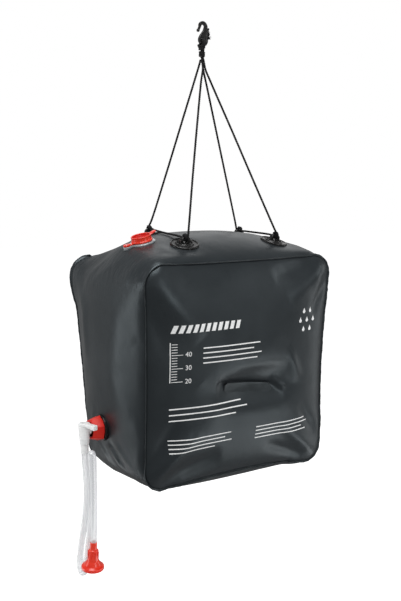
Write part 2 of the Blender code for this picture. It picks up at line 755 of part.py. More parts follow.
def lug_outline():
    """Upright outline of the lug, with a round top."""
    half = LUG_WIDTH / 2
    shoulder = LUG_HEIGHT - half * LUG_SHOULDER_SHARE
    points = [(-half, 0), (half, 0)]
    for step in range(SMALL_ROUND_STEPS + 1):
        turn = math.pi * step / SMALL_ROUND_STEPS
        points.append((half * math.cos(turn), shoulder + (LUG_HEIGHT - shoulder) * math.sin(turn)))
    return points


def build_eye(name, x, y, bag, skin):
    """One pad eye: a moulded disc with an upright lug for the cord."""
    frame = top_frame(x, y)
    eye = add_piece(name, lathe(name, eye_profile(), HOLE_STEPS), bag, frame, "black_moulding")
    upright = frame @ Matrix.Rotation(math.pi / 2, 4, "X")
    lug = prism(name + "_lug", lug_outline(), -LUG_THICKNESS / 2, LUG_THICKNESS / 2)
    combine(eye, add_cutter(name + "_lug", lug, bag, upright), "UNION")
    combine(eye, skin, "DIFFERENCE")
    hole = cylinder(name + "_hole", LUG_HOLE_RADIUS, -LUG_THICKNESS, LUG_THICKNESS, SMALL_ROUND_STEPS)
    hole_frame = upright @ Matrix.Translation((0, LUG_HOLE_HEIGHT, 0))
    combine(eye, add_cutter(name + "_hole", hole, bag, hole_frame), "DIFFERENCE")


def build_eyes(bag, skin):
    """The four pad eyes."""
    for side_name, side in (("left", -1), ("right", 1)):
        front_x = EYE_FRONT_CENTRE_X + side * EYE_FRONT_SPREAD
        back_x = EYE_BACK_CENTRE_X + side * EYE_BACK_SPREAD
        build_eye("pad_eye_" + side_name + "_front", front_x, EYE_FRONT_Y, bag, skin)
        build_eye("pad_eye_" + side_name + "_back", back_x, EYE_BACK_Y, bag, skin)


# Hook and sling


def hook_outline():
    """Flat outline (x, z) of the hook, from the tip over the crown and round the body."""
    tip_x = HOOK_TIP_SHARES[0] * HOOK_LENGTH
    tip_z = HOOK_TIP_SHARES[1] * HOOK_LENGTH
    outer = []
    inner = []
    for step in range(SMALL_ROUND_STEPS + 1):
        turn = math.pi * (1 - step / SMALL_ROUND_STEPS)
        share = step / SMALL_ROUND_STEPS
        arm = HOOK_ARM * (1 - share) + HOOK_SHANK * share
        thick = arm + (HOOK_CROWN - arm) * math.sin(turn)
        reach = HOOK_MOUTH_RADIUS + thick
        outer.append((reach * math.cos(turn), reach * math.sin(turn) - HOOK_MOUTH_RADIUS))
        inner.append((
            HOOK_MOUTH_RADIUS * math.cos(turn),
            HOOK_MOUTH_RADIUS * math.sin(turn) - HOOK_MOUTH_RADIUS,
        ))
    body = [(x * HOOK_LENGTH, z * HOOK_LENGTH) for x, z in HOOK_BODY_SHARES]
    start = [(tip_x + HOOK_ARM / 2, tip_z), (tip_x - HOOK_ARM / 2, tip_z)]
    return start + outer + body + inner[::-1]


def build_hook():
    """The hook with its eye and its ball tip."""
    upright = Matrix.Rotation(math.pi / 2, 4, "X")
    plate = prism("hook", hook_outline(), -HOOK_THICKNESS / 2, HOOK_THICKNESS / 2)
    hook = add_piece("hook", plate, None, upright, "black_moulding")
    hole = cylinder("hook_hole", HOOK_EYE_RADIUS, -HOOK_THICKNESS, HOOK_THICKNESS, HOLE_STEPS)
    hole_frame = upright @ Matrix.Translation((HOOK_EYE_X, HOOK_BAR + HOOK_EYE_RADIUS - HOOK_LENGTH, 0))
    combine(hook, add_cutter("hook_hole", hole, None, hole_frame), "DIFFERENCE")
    round_edges(hook, HOOK_ROUND, HOOK_BEVEL_STEPS)
    ball = bmesh.new()
    bmesh.ops.create_uvsphere(ball, u_segments=SMALL_ROUND_STEPS, v_segments=SMALL_ROUND_STEPS // 2, radius=HOOK_TIP_RADIUS)
    tip = Matrix.Translation((HOOK_TIP_SHARES[0] * HOOK_LENGTH, 0, HOOK_TIP_SHARES[1] * HOOK_LENGTH))
    combine(hook, add_cutter("hook_tip", finish_mesh("hook_tip", ball), None, tip), "UNION")


def bar_drop():
    """From the crown down to the middle of the bar under the hook's eye, on which the sling swings."""
    return HOOK_LENGTH - HOOK_BAR / 2


def loop_points():
    """U-shaped path of the sling loop, over the bar under the hook's eye, from knot to knot."""
    corner = math.hypot(HOOK_THICKNESS / 2 - HOOK_ROUND, HOOK_BAR / 2 - HOOK_ROUND) + HOOK_ROUND
    bend = corner + GAP + CORD_DIAMETER / 2
    foot = GAP - KNOT_DROP
    path = [(bend, foot), (bend, foot / 2)]
    for step in range(LOOP_STEPS + 1):
        turn = math.pi * step / LOOP_STEPS
        path.append((bend * math.cos(turn), bend * math.sin(turn)))
    path += [(-bend, foot / 2), (-bend, foot)]
    return [Vector((0, y, z)) for y, z in path]


def build_sling(swing):
    """The knot, its loop, its two tails and the two sling cords."""
    knot_frame = Matrix.Translation((0, 0, -KNOT_DROP))
    radii = (
        KNOT_COLLAR_RADIUS, KNOT_COLLAR_RADIUS, KNOT_WAIST_RADIUS, KNOT_WRAP_RADIUS, KNOT_WRAP_RADIUS,
        KNOT_END_RADIUS,
    )
    wall = [(radius, -KNOT_LENGTH * share) for radius, share in zip(radii, KNOT_HEIGHT_SHARES)]
    profile = [(0, 0)] + wall + [(0, -KNOT_LENGTH)]
    knot = lathe("sling_knot", profile, SMALL_ROUND_STEPS)
    add_piece("sling_knot", knot, swing, knot_frame, "black_cord")
    ropes = add_empty("sling_route_origin", swing, Matrix.Translation((-HOOK_EYE_X, 0, ROUTE_RISE)))
    radius = CORD_DIAMETER / 2
    tube("sling_loop", loop_points(), radius, CORD_RESOLUTION, swing, "black_cord")
    for name, route in (
        ("sling_cord_left", LEFT_SLING_ROUTE),
        ("sling_cord_right", RIGHT_SLING_ROUTE),
        ("cord_tail_upper", UPPER_TAIL_ROUTE),
        ("cord_tail_lower", LOWER_TAIL_ROUTE),
    ):
        tube(name, smooth_route(route, CORD_STEP), radius, CORD_RESOLUTION, ropes, "black_cord")


# Filler


def build_filler_base(frame, bag, skin):
    """The pale flange, neck, ear and stud on the top."""
    profile = (
        (NECK_BORE_RADIUS, -SEAT_DEPTH), (FILLER_FLANGE_RADIUS, -SEAT_DEPTH),
        (FILLER_FLANGE_RADIUS, FILLER_FLANGE), (NECK_RADIUS, FILLER_FLANGE),
        (NECK_RADIUS, NECK_HEIGHT), (NECK_BORE_RADIUS, NECK_HEIGHT),
    )
    base = add_piece("filler_base", lathe("filler_base", profile), bag, frame, "pale_vinyl")
    half = EAR_WIDTH / 2
    centre = EAR_LENGTH - half
    ear_outline = [(-NECK_RADIUS - OVERRUN, -half), (-NECK_RADIUS - OVERRUN, half)]
    for step in range(SMALL_ROUND_STEPS + 1):
        turn = math.pi / 2 + math.pi * step / SMALL_ROUND_STEPS
        ear_outline.append((half * math.cos(turn) - centre, half * math.sin(turn)))
    ear = prism("filler_ear", ear_outline, -SEAT_DEPTH, FILLER_FLANGE)
    combine(base, add_cutter("filler_ear", ear, bag, frame), "UNION")
    stud = cylinder("filler_stud", STUD_RADIUS, 0, STUD_HEIGHT, SMALL_ROUND_STEPS)
    stud_frame = frame @ Matrix.Translation((-anchor_reach(), 0, 0))
    combine(base, add_cutter("filler_stud", stud, bag, stud_frame), "UNION")
    combine(base, skin, "DIFFERENCE")


def anchor_reach():
    """From the neck's axis to the anchor's stud."""
    return EAR_LENGTH - EAR_WIDTH / 2


def build_anchor(frame, bag):
    """The red loop on the ear's stud, with the fixed half of the hinge tongue."""
    low = FILLER_FLANGE + GAP
    high = low + ANCHOR_THICKNESS
    loop = cylinder("cap_anchor", ANCHOR_RADIUS, low, high)
    loop_frame = frame @ Matrix.Translation((-anchor_reach(), 0, 0))
    anchor = add_piece("cap_anchor", loop, bag, loop_frame, "red_plastic")
    half = CAP_TONGUE_WIDTH / 2
    stop = anchor_reach() - CAP_HINGE_REACH - CAP_KNUCKLE_RADIUS - GAP
    tongue = box("anchor_tongue", (0, -half, low), (stop, half, high))
    combine(anchor, add_cutter("anchor_tongue", tongue, bag, loop_frame), "UNION")
    hole = cylinder("anchor_hole", ANCHOR_HOLE_RADIUS, 0, high + OVERRUN, SMALL_ROUND_STEPS)
    combine(anchor, add_cutter("anchor_hole", hole, bag, loop_frame), "DIFFERENCE")


def build_cap(frame, bag):
    """The cap with its dished top, pull tab and hinge tongue; its origin lies on the hinge."""
    hinge_frame = frame @ Matrix.Translation((-CAP_HINGE_REACH, 0, CAP_HINGE_HEIGHT))
    to_hinge = Matrix.Translation((CAP_HINGE_REACH, 0, -CAP_HINGE_HEIGHT))
    deck_low = NECK_HEIGHT + GAP + SEAL_THICKNESS + GAP
    deck_high = deck_low + CAP_DECK_THICKNESS
    rim_inside = CAP_RADIUS - CAP_RIM
    profile = (
        (0, deck_low), (CAP_SKIRT_INSIDE_RADIUS, deck_low), (CAP_SKIRT_INSIDE_RADIUS, CAP_SKIRT_LOW),
        (CAP_RADIUS, CAP_SKIRT_LOW), (CAP_RADIUS, CAP_HEIGHT - CAP_ROUND), (CAP_RADIUS - CAP_ROUND, CAP_HEIGHT),
        (rim_inside + CAP_ROUND, CAP_HEIGHT), (rim_inside, CAP_HEIGHT - CAP_ROUND),
        (rim_inside - CAP_ROUND, deck_high), (0, deck_high),
    )
    data = lathe("filler_cap", profile)
    data.transform(to_hinge)
    cap = add_piece("filler_cap", data, bag, hinge_frame, "red_plastic")
    half = CAP_TONGUE_WIDTH / 2
    reach = CAP_HINGE_REACH - CAP_RADIUS + CAP_RIM / 2
    tongue_low = -CAP_TONGUE_THICKNESS / 2
    tongue = box("cap_tongue", (0, -half, tongue_low), (reach, half, tongue_low + CAP_TONGUE_THICKNESS))
    combine(cap, add_cutter("cap_tongue", tongue, bag, hinge_frame), "UNION")
    knuckle_frame = hinge_frame @ Matrix.Rotation(math.pi / 2, 4, "X")
    knuckle = cylinder("cap_knuckle", CAP_KNUCKLE_RADIUS, -half, half, SMALL_ROUND_STEPS)
    combine(cap, add_cutter("cap_knuckle", knuckle, bag, knuckle_frame), "UNION")
    tab_root = CAP_HINGE_REACH + CAP_RADIUS - CAP_RIM / 2
    tab_end = CAP_HINGE_REACH + CAP_RADIUS + TAB_LENGTH
    tab_top = CAP_HEIGHT - CAP_ROUND - CAP_HINGE_HEIGHT
    tab_outline = (
        (tab_root, tab_top), (tab_root, tab_top - TAB_THICKNESS),
        (tab_end, tab_top - TAB_THICKNESS + TAB_RISE), (tab_end, tab_top + TAB_RISE),
    )
    tab = prism("cap_tab", tab_outline, -TAB_WIDTH / 2, TAB_WIDTH / 2)
    combine(cap, add_cutter("cap_tab", tab, bag, knuckle_frame), "UNION")
    seal_low = NECK_HEIGHT + GAP
    seal_profile = (
        (SEAL_BORE_RADIUS, seal_low), (CAP_SKIRT_INSIDE_RADIUS - GAP, seal_low),
        (CAP_SKIRT_INSIDE_RADIUS - GAP, seal_low + SEAL_THICKNESS), (SEAL_BORE_RADIUS, seal_low + SEAL_THICKNESS),
    )
    seal = lathe("cap_seal", seal_profile)
    seal.transform(to_hinge)
    add_piece("cap_seal", seal, bag, hinge_frame, "rubber")


# Tap


def tap_frame():
    """Frame on the tap side: Z along the tap's axis, out of the bag, X towards the front."""
    return frame_along(side_point(TAP_Y, TAP_Z), (-1, 0, 0), (0, -1, 0))


def nut_length():
    """Length of the nut from its foot to its open end."""
    return PORT_LENGTH - PORT_FLANGE + 2 * GAP + GASKET + COLLAR + GAP + NUT_LIP


def barrel_reach():
    """From the bag's skin to the barrel's axis."""
    return PORT_FLANGE + GAP + nut_length() + BARREL_REACH


def build_port(frame, bag, skin):
    """The black port that is welded to the bag."""
    profile = (
        (PORT_BORE_RADIUS, -SEAT_DEPTH), (PORT_RADIUS, -SEAT_DEPTH), (PORT_RADIUS, PORT_FLANGE),
        (PORT_STUB_RADIUS, PORT_FLANGE), (PORT_STUB_RADIUS, PORT_LENGTH), (PORT_BORE_RADIUS, PORT_LENGTH),
    )
    port = add_piece("tap_port", lathe("tap_port", profile), bag, frame, "black_moulding")
    combine(port, skin, "DIFFERENCE")


def build_nut(frame, bag):
    """The red nut that draws the tap body against the port, and the gasket between them."""
    foot = PORT_FLANGE + GAP
    end = foot + nut_length()
    inside = end - NUT_LIP
    bore = PORT_STUB_RADIUS + GAP
    cone = []
    for height, radius in ((foot + NUT_FLANGE / 2, NUT_BASE_RADIUS), (end, NUT_TIP_RADIUS)):
        turns = [math.tau * step / NUT_SIDES for step in range(NUT_SIDES)]
        cone.append([(radius * math.cos(turn), radius * math.sin(turn), height) for turn in turns])
    shape = bmesh.new()
    rings = [[shape.verts.new(point) for point in ring] for ring in cone]
    shape.faces.new(rings[0])
    shape.faces.new(rings[1])
    for step in range(NUT_SIDES):
        after = (step + 1) % NUT_SIDES
        shape.faces.new((rings[0][step], rings[0][after], rings[1][after], rings[1][step]))
    nut = add_piece("tap_nut", finish_mesh("tap_nut", shape), bag, frame, "red_plastic")
    round_edges(nut, NUT_ROUND)
    flange = cylinder("nut_flange", NUT_FLANGE_RADIUS, foot, foot + NUT_FLANGE)
    combine(nut, add_cutter("nut_flange", flange, bag, frame), "UNION")
    hollow = lathe("nut_hollow", (
        (0, foot - OVERRUN), (bore, foot - OVERRUN), (bore, inside),
        (SPOUT_RADIUS + GAP, inside), (SPOUT_RADIUS + GAP, end + OVERRUN), (0, end + OVERRUN),
    ))
    combine(nut, add_cutter("nut_hollow", hollow, bag, frame), "DIFFERENCE")
    low = PORT_LENGTH + GAP
    gasket_profile = (
        (PORT_BORE_RADIUS, low), (COLLAR_RADIUS, low), (COLLAR_RADIUS, low + GASKET), (PORT_BORE_RADIUS, low + GASKET),
    )
    add_piece("tap_gasket", lathe("tap_gasket", gasket_profile), bag, frame, "rubber")


def build_tap_body(frame, bag):
    """The white tap: collar, spout, barrel and outlet in one moulding, bored through."""
    barrel_frame = Matrix.Translation(frame @ Vector((0, 0, barrel_reach())))
    outer = (
        (0, -OUTLET_BOTTOM), (OUTLET_RADIUS, -OUTLET_BOTTOM), (OUTLET_RADIUS, -BARREL_BOTTOM),
        (BARREL_BOTTOM_RADIUS - BARREL_ROUND, -BARREL_BOTTOM),
        (BARREL_BOTTOM_RADIUS, -BARREL_BOTTOM + BARREL_ROUND), (BARREL_TOP_RADIUS, BARREL_TOP), (0, BARREL_TOP),
    )
    body = add_piece("tap_body", lathe("tap_body", outer), bag, barrel_frame, "white_plastic")
    collar_low = PORT_LENGTH + 2 * GAP + GASKET
    spout = lathe("tap_spout", (
        (0, collar_low), (COLLAR_RADIUS, collar_low), (COLLAR_RADIUS, collar_low + COLLAR),
        (SPOUT_RADIUS, collar_low + COLLAR), (SPOUT_RADIUS, barrel_reach()), (0, barrel_reach()),
    ))
    combine(body, add_cutter("tap_spout", spout, bag, frame), "UNION")
    cavity = lathe("tap_cavity", (
        (0, -OUTLET_BOTTOM - OVERRUN), (OUTLET_BORE_RADIUS, -OUTLET_BOTTOM - OVERRUN),
        (OUTLET_BORE_RADIUS, -PLUG_BOTTOM - RUNNING_GAP), (PLUG_RADIUS + RUNNING_GAP, -PLUG_BOTTOM - RUNNING_GAP),
        (PLUG_RADIUS + RUNNING_GAP, BARREL_TOP + OVERRUN), (0, BARREL_TOP + OVERRUN),
    ))
    combine(body, add_cutter("tap_cavity", cavity, bag, barrel_frame), "DIFFERENCE")
    inlet = cylinder("tap_inlet", INLET_RADIUS, collar_low - OVERRUN, barrel_reach(), SMALL_ROUND_STEPS)
    combine(body, add_cutter("tap_inlet", inlet, bag, frame), "DIFFERENCE")
    return barrel_frame


def lever_outline():
    """Flat outline of the lever: a round hub with a tapering arm along +X."""
    start = math.asin(LEVER_ROOT_WIDTH / 2 / LEVER_HUB_RADIUS)
    points = [(LEVER_LENGTH, -LEVER_TIP_WIDTH / 2), (LEVER_LENGTH, LEVER_TIP_WIDTH / 2)]
    for step in range(ROUND_STEPS + 1):
        turn = start + (math.tau - 2 * start) * step / ROUND_STEPS
        points.append((LEVER_HUB_RADIUS * math.cos(turn), LEVER_HUB_RADIUS * math.sin(turn)))
    return points


def build_lever(barrel_frame, bag):
    """The quarter-turn lever and the valve plug under it, on the barrel's axis."""
    turned = barrel_frame @ Matrix.Rotation(LEVER_TURN, 4, "Z")
    low = BARREL_TOP + RUNNING_GAP
    lever = prism("tap_lever", lever_outline(), low, low + LEVER_THICKNESS)
    round_edges(add_piece("tap_lever", lever, bag, turned, "white_plastic"), LEVER_ROUND)
    plug_data = cylinder("valve_plug", PLUG_RADIUS, -PLUG_BOTTOM, BARREL_TOP + RUNNING_GAP - GAP)
    plug = add_piece("valve_plug", plug_data, bag, turned, "white_plastic")
    down = cylinder("plug_down", PLUG_BORE_RADIUS, -PLUG_BOTTOM - OVERRUN, 0, SMALL_ROUND_STEPS)
    combine(plug, add_cutter("plug_down", down, bag, turned), "DIFFERENCE")
    sideways = barrel_frame @ Matrix.Rotation(math.pi / 2, 4, "Y")
    across = cylinder("plug_across", PLUG_BORE_RADIUS, 0, PLUG_RADIUS + OVERRUN, SMALL_ROUND_STEPS)
    combine(plug, add_cutter("plug_across", across, bag, sideways), "DIFFERENCE")


def build_tap(bag, skin):
    """Port, nut, gasket, body, lever, plug and the clear cuff on the outlet."""
    frame = tap_frame()
    build_port(frame, bag, skin)
    build_nut(frame, bag)
    barrel_frame = build_tap_body(frame, bag)
    build_lever(barrel_frame, bag)
    inside = OUTLET_RADIUS + GAP
    cuff_profile = (
        (inside, -OUTLET_BOTTOM), (CUFF_RADIUS, -OUTLET_BOTTOM),
        (CUFF_RADIUS, -BARREL_BOTTOM - GAP), (inside, -BARREL_BOTTOM - GAP),
    )
    add_piece("hose_cuff", lathe("hose_cuff", cuff_profile), bag, barrel_frame, "clear_hose")


# Hose and shower head


def build_hose(bag):
    """The clear hose, folded into three strands."""
    route_frame = Matrix.Translation((-BAG_SHIFT_X, 0, HANG_DROP + ROUTE_RISE))
    origin = add_empty("hose_route_origin", bag, route_frame)
    tube("hose", smooth_route(HOSE_ROUTE, HOSE_STEP), HOSE_DIAMETER / 2, HOSE_RESOLUTION, origin, "clear_hose")
    end = Vector(HOSE_ROUTE[-1]) - Vector((0, 0, GAP))
    return route_frame @ Matrix.Translation(end)


def build_head(top_frame_of_head, bag):
    """The shower head and its pierced rose plate."""
    frame = top_frame_of_head @ Matrix.Rotation(HEAD_TILT, 4, "X")
    rim_top = HEAD_LENGTH - HEAD_RIM
    plate_top = HEAD_LENGTH - ROSE_RECESS - ROSE_THICKNESS
    seat = HEAD_RIM_RADIUS - HEAD_WALL
    profile = (
        (HEAD_BORE_RADIUS, 0), (HEAD_STEM_RADIUS, 0), (HEAD_STEM_RADIUS + HEAD_WALL / 2, -HEAD_STEM_LENGTH),
        (HEAD_STEP_RADIUS, -HEAD_STEM_LENGTH), (HEAD_THROAT_RADIUS, -HEAD_THROAT_LENGTH),
        (HEAD_RIM_RADIUS, -rim_top), (HEAD_RIM_RADIUS, -HEAD_LENGTH), (seat, -HEAD_LENGTH),
        (seat, -plate_top + GAP), (seat - HEAD_WALL, -plate_top + GAP), (seat - HEAD_WALL, -rim_top),
        (HEAD_THROAT_RADIUS - HEAD_WALL, -HEAD_THROAT_LENGTH), (HEAD_BORE_RADIUS, -HEAD_STEM_LENGTH),
    )
    add_piece("shower_head", lathe("shower_head", profile), bag, frame, "red_plastic")
    plate_data = cylinder("rose_plate", seat - GAP, -plate_top - ROSE_THICKNESS, -plate_top)
    plate = add_piece("rose_plate", plate_data, bag, frame, "red_plastic")
    drills = bmesh.new()
    for radius, count in zip(ROSE_RING_RADII, ROSE_RING_COUNTS):
        for step in range(count):
            turn = math.tau * step / count
            place = Matrix.Translation((radius * math.cos(turn), radius * math.sin(turn), -plate_top - ROSE_THICKNESS / 2))
            bmesh.ops.create_cone(
                drills, cap_ends=True, segments=NUT_SIDES, radius1=ROSE_HOLE_RADIUS,
                radius2=ROSE_HOLE_RADIUS, depth=ROSE_THICKNESS + 2 * OVERRUN, matrix=place,
            )
    combine(plate, add_cutter("rose_drills", finish_mesh("rose_drills", drills), bag, frame), "DIFFERENCE")


def main():
    """Build the whole part."""
    clear_scene()
    build_hook()
    swing = add_empty("hook_bar_axis", None, Matrix.Translation((HOOK_EYE_X, 0, -bar_drop())))
    middle = Matrix.Translation((BAG_SHIFT_X - HOOK_EYE_X, 0, -HANG_DROP))
    bag = add_empty("bag_middle", swing, middle)
    build_sling(swing)
    skin = add_cutter("outer_skin", whole_skin("outer_skin", GAP), bag, Matrix())
    build_panel("front_panel", -1, bag)
    build_panel("back_panel", 1, bag)
    build_gusset(bag)
    build_lip("front_weld_lip", -1, bag)
    build_lip("back_weld_lip", 1, bag)
    build_tie(bag)
    build_eyes(bag, skin)
    filler = top_frame(FILLER_X, FILLER_Y)
    build_filler_base(filler, bag, skin)
    build_anchor(filler, bag)
    build_cap(filler, bag)
    build_tap(bag, skin)
    build_head(build_hose(bag), bag)


main()
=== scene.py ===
"""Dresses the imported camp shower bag: inflated vinyl, twisted cords, moulded fittings, clear hose."""

import logging
import math
from dataclasses import dataclass, field, replace
from enum import Enum
from typing import Any, Dict, List, Optional, Sequence, Tuple, Union

import bmesh
import bpy
import numpy as np
from mathutils import Matrix, Vector
from mathutils.bvhtree import BVHTree


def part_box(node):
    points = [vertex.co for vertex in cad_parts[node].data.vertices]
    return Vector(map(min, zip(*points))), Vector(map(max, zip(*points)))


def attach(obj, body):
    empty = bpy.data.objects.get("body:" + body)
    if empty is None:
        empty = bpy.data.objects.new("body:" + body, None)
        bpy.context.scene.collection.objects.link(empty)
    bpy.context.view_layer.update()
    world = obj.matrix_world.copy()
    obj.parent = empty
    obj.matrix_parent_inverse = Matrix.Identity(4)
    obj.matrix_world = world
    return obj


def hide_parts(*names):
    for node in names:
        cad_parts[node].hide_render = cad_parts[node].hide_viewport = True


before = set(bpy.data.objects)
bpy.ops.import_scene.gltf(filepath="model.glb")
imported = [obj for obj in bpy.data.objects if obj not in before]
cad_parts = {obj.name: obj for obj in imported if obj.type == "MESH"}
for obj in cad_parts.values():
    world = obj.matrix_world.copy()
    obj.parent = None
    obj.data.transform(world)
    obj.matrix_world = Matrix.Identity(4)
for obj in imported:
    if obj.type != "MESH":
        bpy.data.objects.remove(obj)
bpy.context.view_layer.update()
LOG = logging.getLogger("camp_shower_bag")

Point = Tuple[float, float, float]
Colour = Tuple[float, float, float]
Profile = Sequence[Tuple[float, float]]
BAG_MIDDLE = Vector((0.003, 0.0, -0.6187))
CORD_DIAMETER = 0.0032
HOSE_DIAMETER = 0.0118

LEFT_SLING_ROUTE: Sequence[Point] = (
    (-0.0028, 0.0019, -0.0620), (-0.0040, 0.0028, -0.0680), (-0.0092, 0.0083, -0.0920),
    (-0.0264, 0.0281, -0.1720), (-0.0487, 0.0538, -0.2760), (-0.0666, 0.0764, -0.3590),
    (-0.0700, 0.0808, -0.3700), (-0.0712, 0.0806, -0.3746), (-0.0719, 0.0742, -0.3755),
    (-0.0722, 0.0683, -0.3744), (-0.0770, 0.0100, -0.3772), (-0.0836, -0.0600, -0.3804),
    (-0.0839, -0.0730, -0.3828), (-0.0837, -0.0786, -0.3838), (-0.0826, -0.0806, -0.3800),
    (-0.0790, -0.0775, -0.3660), (-0.0560, -0.0545, -0.2760), (-0.0290, -0.0282, -0.1760),
    (-0.0080, -0.0085, -0.1000), (-0.0006, -0.0024, -0.0780), (-0.0018, -0.0018, -0.0660),
    (-0.0024, -0.0016, -0.0620),
)
RIGHT_SLING_ROUTE: Sequence[Point] = (
    (0.0008, 0.0018, -0.0620), (0.0020, 0.0022, -0.0700), (0.0034, 0.0026, -0.0790),
    (0.0163, 0.0099, -0.1080), (0.0608, 0.0359, -0.2080), (0.1053, 0.0619, -0.3080),
    (0.1322, 0.0781, -0.3680), (0.1364, 0.0812, -0.3772), (0.1380, 0.0818, -0.3816),
    (0.1385, 0.0796, -0.3845), (0.1388, 0.0736, -0.3847), (0.1386, 0.0672, -0.3838),
    (0.1296, 0.0100, -0.3832),
    (0.1182, -0.0600, -0.3838), (0.1174, -0.0726, -0.3857), (0.1170, -0.0782, -0.3866),
    (0.1160, -0.0800, -0.3824), (0.1108, -0.0768, -0.3690), (0.0812, -0.0556, -0.2880),
    (0.0444, -0.0308, -0.1880), (0.0140, -0.0098, -0.1060), (0.0046, -0.0030, -0.0790),
    (0.0026, -0.0020, -0.0690), (0.0012, -0.0018, -0.0620),
)
UPPER_TAIL_ROUTE: Sequence[Point] = (
    (0.0034, 0.0026, -0.0402), (0.0037, 0.0028, -0.0382), (0.0060, 0.0038, -0.0361),
    (0.0100, 0.0047, -0.0340), (0.0128, 0.0050, -0.0300), (0.0138, 0.0050, -0.0240),
    (0.0142, 0.0052, -0.0160), (0.0150, 0.0050, -0.0095), (0.0162, 0.0048, -0.0046),
)
LOWER_TAIL_ROUTE: Sequence[Point] = (
    (-0.0054, 0.0036, -0.0402), (-0.0054, 0.0037, -0.0384), (-0.0046, 0.0068, -0.0362),
    (-0.0008, 0.0096, -0.0353), (0.0060, 0.0102, -0.0340), (0.0115, 0.0098, -0.0305),
    (0.0148, 0.0090, -0.0255), (0.0168, 0.0080, -0.0200), (0.0188, 0.0066, -0.0140),
)
HOSE_ROUTE: Sequence[Point] = (
    (-0.2508, 0.0000, -0.7658), (-0.2508, 0.0000, -0.7740), (-0.2508, -0.0046, -0.8060),
    (-0.2507, -0.0064, -0.8300), (-0.2506, -0.0040, -0.8560), (-0.2504, 0.0022, -0.8820),
    (-0.2500, 0.0117, -0.9120), (-0.2494, 0.0250, -0.9505), (-0.2492, 0.0320, -0.9806),
    (-0.2492, 0.0322, -0.9936), (-0.2489, 0.0282, -1.0021), (-0.2484, 0.0212, -1.0036),
    (-0.2479, 0.0154, -0.9966), (-0.2473, 0.0102, -0.9807), (-0.2475, 0.0006, -0.9486),
    (-0.2483, -0.0090, -0.9163), (-0.2490, -0.0156, -0.8820), (-0.2493, -0.0188, -0.8400),
    (-0.2493, -0.0190, -0.8000), (-0.2493, -0.0188, -0.7700), (-0.2493, -0.0200, -0.7620),
    (-0.2493, -0.0252, -0.7575), (-0.2493, -0.0304, -0.7620), (-0.2493, -0.0316, -0.7700),
    (-0.2493, -0.0318, -0.8000), (-0.2493, -0.0318, -0.8400), (-0.2492, -0.0306, -0.8800),
    (-0.2491, -0.0282, -0.9100), (-0.2490, -0.0268, -0.9235),
)


class Slot(str, Enum):
    """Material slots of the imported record."""

    VINYL = "black_vinyl"
    MOULDING = "black_moulding"
    CORD = "black_cord"
    RED = "red_plastic"
    WHITE = "white_plastic"
    PALE = "pale_vinyl"
    CLEAR = "clear_hose"
    RUBBER = "rubber"


class Signal:
    """A shader value that takes part in Python arithmetic."""

    def __init__(self, tree: bpy.types.NodeTree, socket: bpy.types.NodeSocket) -> None:
        """Wraps an output socket of a node tree."""
        self.tree = tree
        self.socket = socket

    @staticmethod
    def feed(tree: bpy.types.NodeTree, socket: bpy.types.NodeSocket, value: Any) -> None:
        """Links or sets a socket.

        Args:
            tree: The tree that holds the socket.
            socket: The input that is fed.
            value: A Signal, a number or a tuple.
        """
        if isinstance(value, Signal):
            tree.links.new(value.socket, socket)
        elif isinstance(value, tuple) and len(value) == 3 and socket.type == "RGBA":
            socket.default_value = (*value, 1.0)
        else:
            socket.default_value = value

    def maths(self, operation: str, *operands: Any) -> "Signal":
        """Adds a Math node.

        Args:
            operation: The node's operation.
            *operands: Signals or numbers, in the node's own order.

        Returns:
            The node's value.
        """
        node = self.tree.nodes.new("ShaderNodeMath")
        node.operation = operation
        for socket, value in zip(node.inputs, operands):
            self.feed(self.tree, socket, value)
        return Signal(self.tree, node.outputs[0])

    def __add__(self, other: Any) -> "Signal":
        """Sum."""
        return self.maths("ADD", self, other)

    __radd__ = __add__

    def __sub__(self, other: Any) -> "Signal":
        """Difference."""
        return self.maths("SUBTRACT", self, other)

    def __rsub__(self, other: Any) -> "Signal":
        """Difference from a number."""
        return self.maths("SUBTRACT", other, self)

    def __mul__(self, other: Any) -> "Signal":
        """Product."""
        return self.maths("MULTIPLY", self, other)

    __rmul__ = __mul__

    def __truediv__(self, other: Any) -> "Signal":
        """Quotient."""
        return self.maths("DIVIDE", self, other)

    def __pow__(self, other: Any) -> "Signal":
        """Power."""
        return self.maths("POWER", self, other)

    def unsigned(self) -> "Signal":
        """The value without its sign."""
        return self.maths("ABSOLUTE", self)

    def clamped(self, low: float, high: float) -> "Signal":
        """The value held between two limits."""
        return self.maths("MINIMUM", self.maths("MAXIMUM", self, low), high)

    def rise(self, start: float, end: float) -> "Signal":
        """0 below start, 1 above end and straight between."""
        return ((self - start) / (end - start)).clamped(0.0, 1.0)


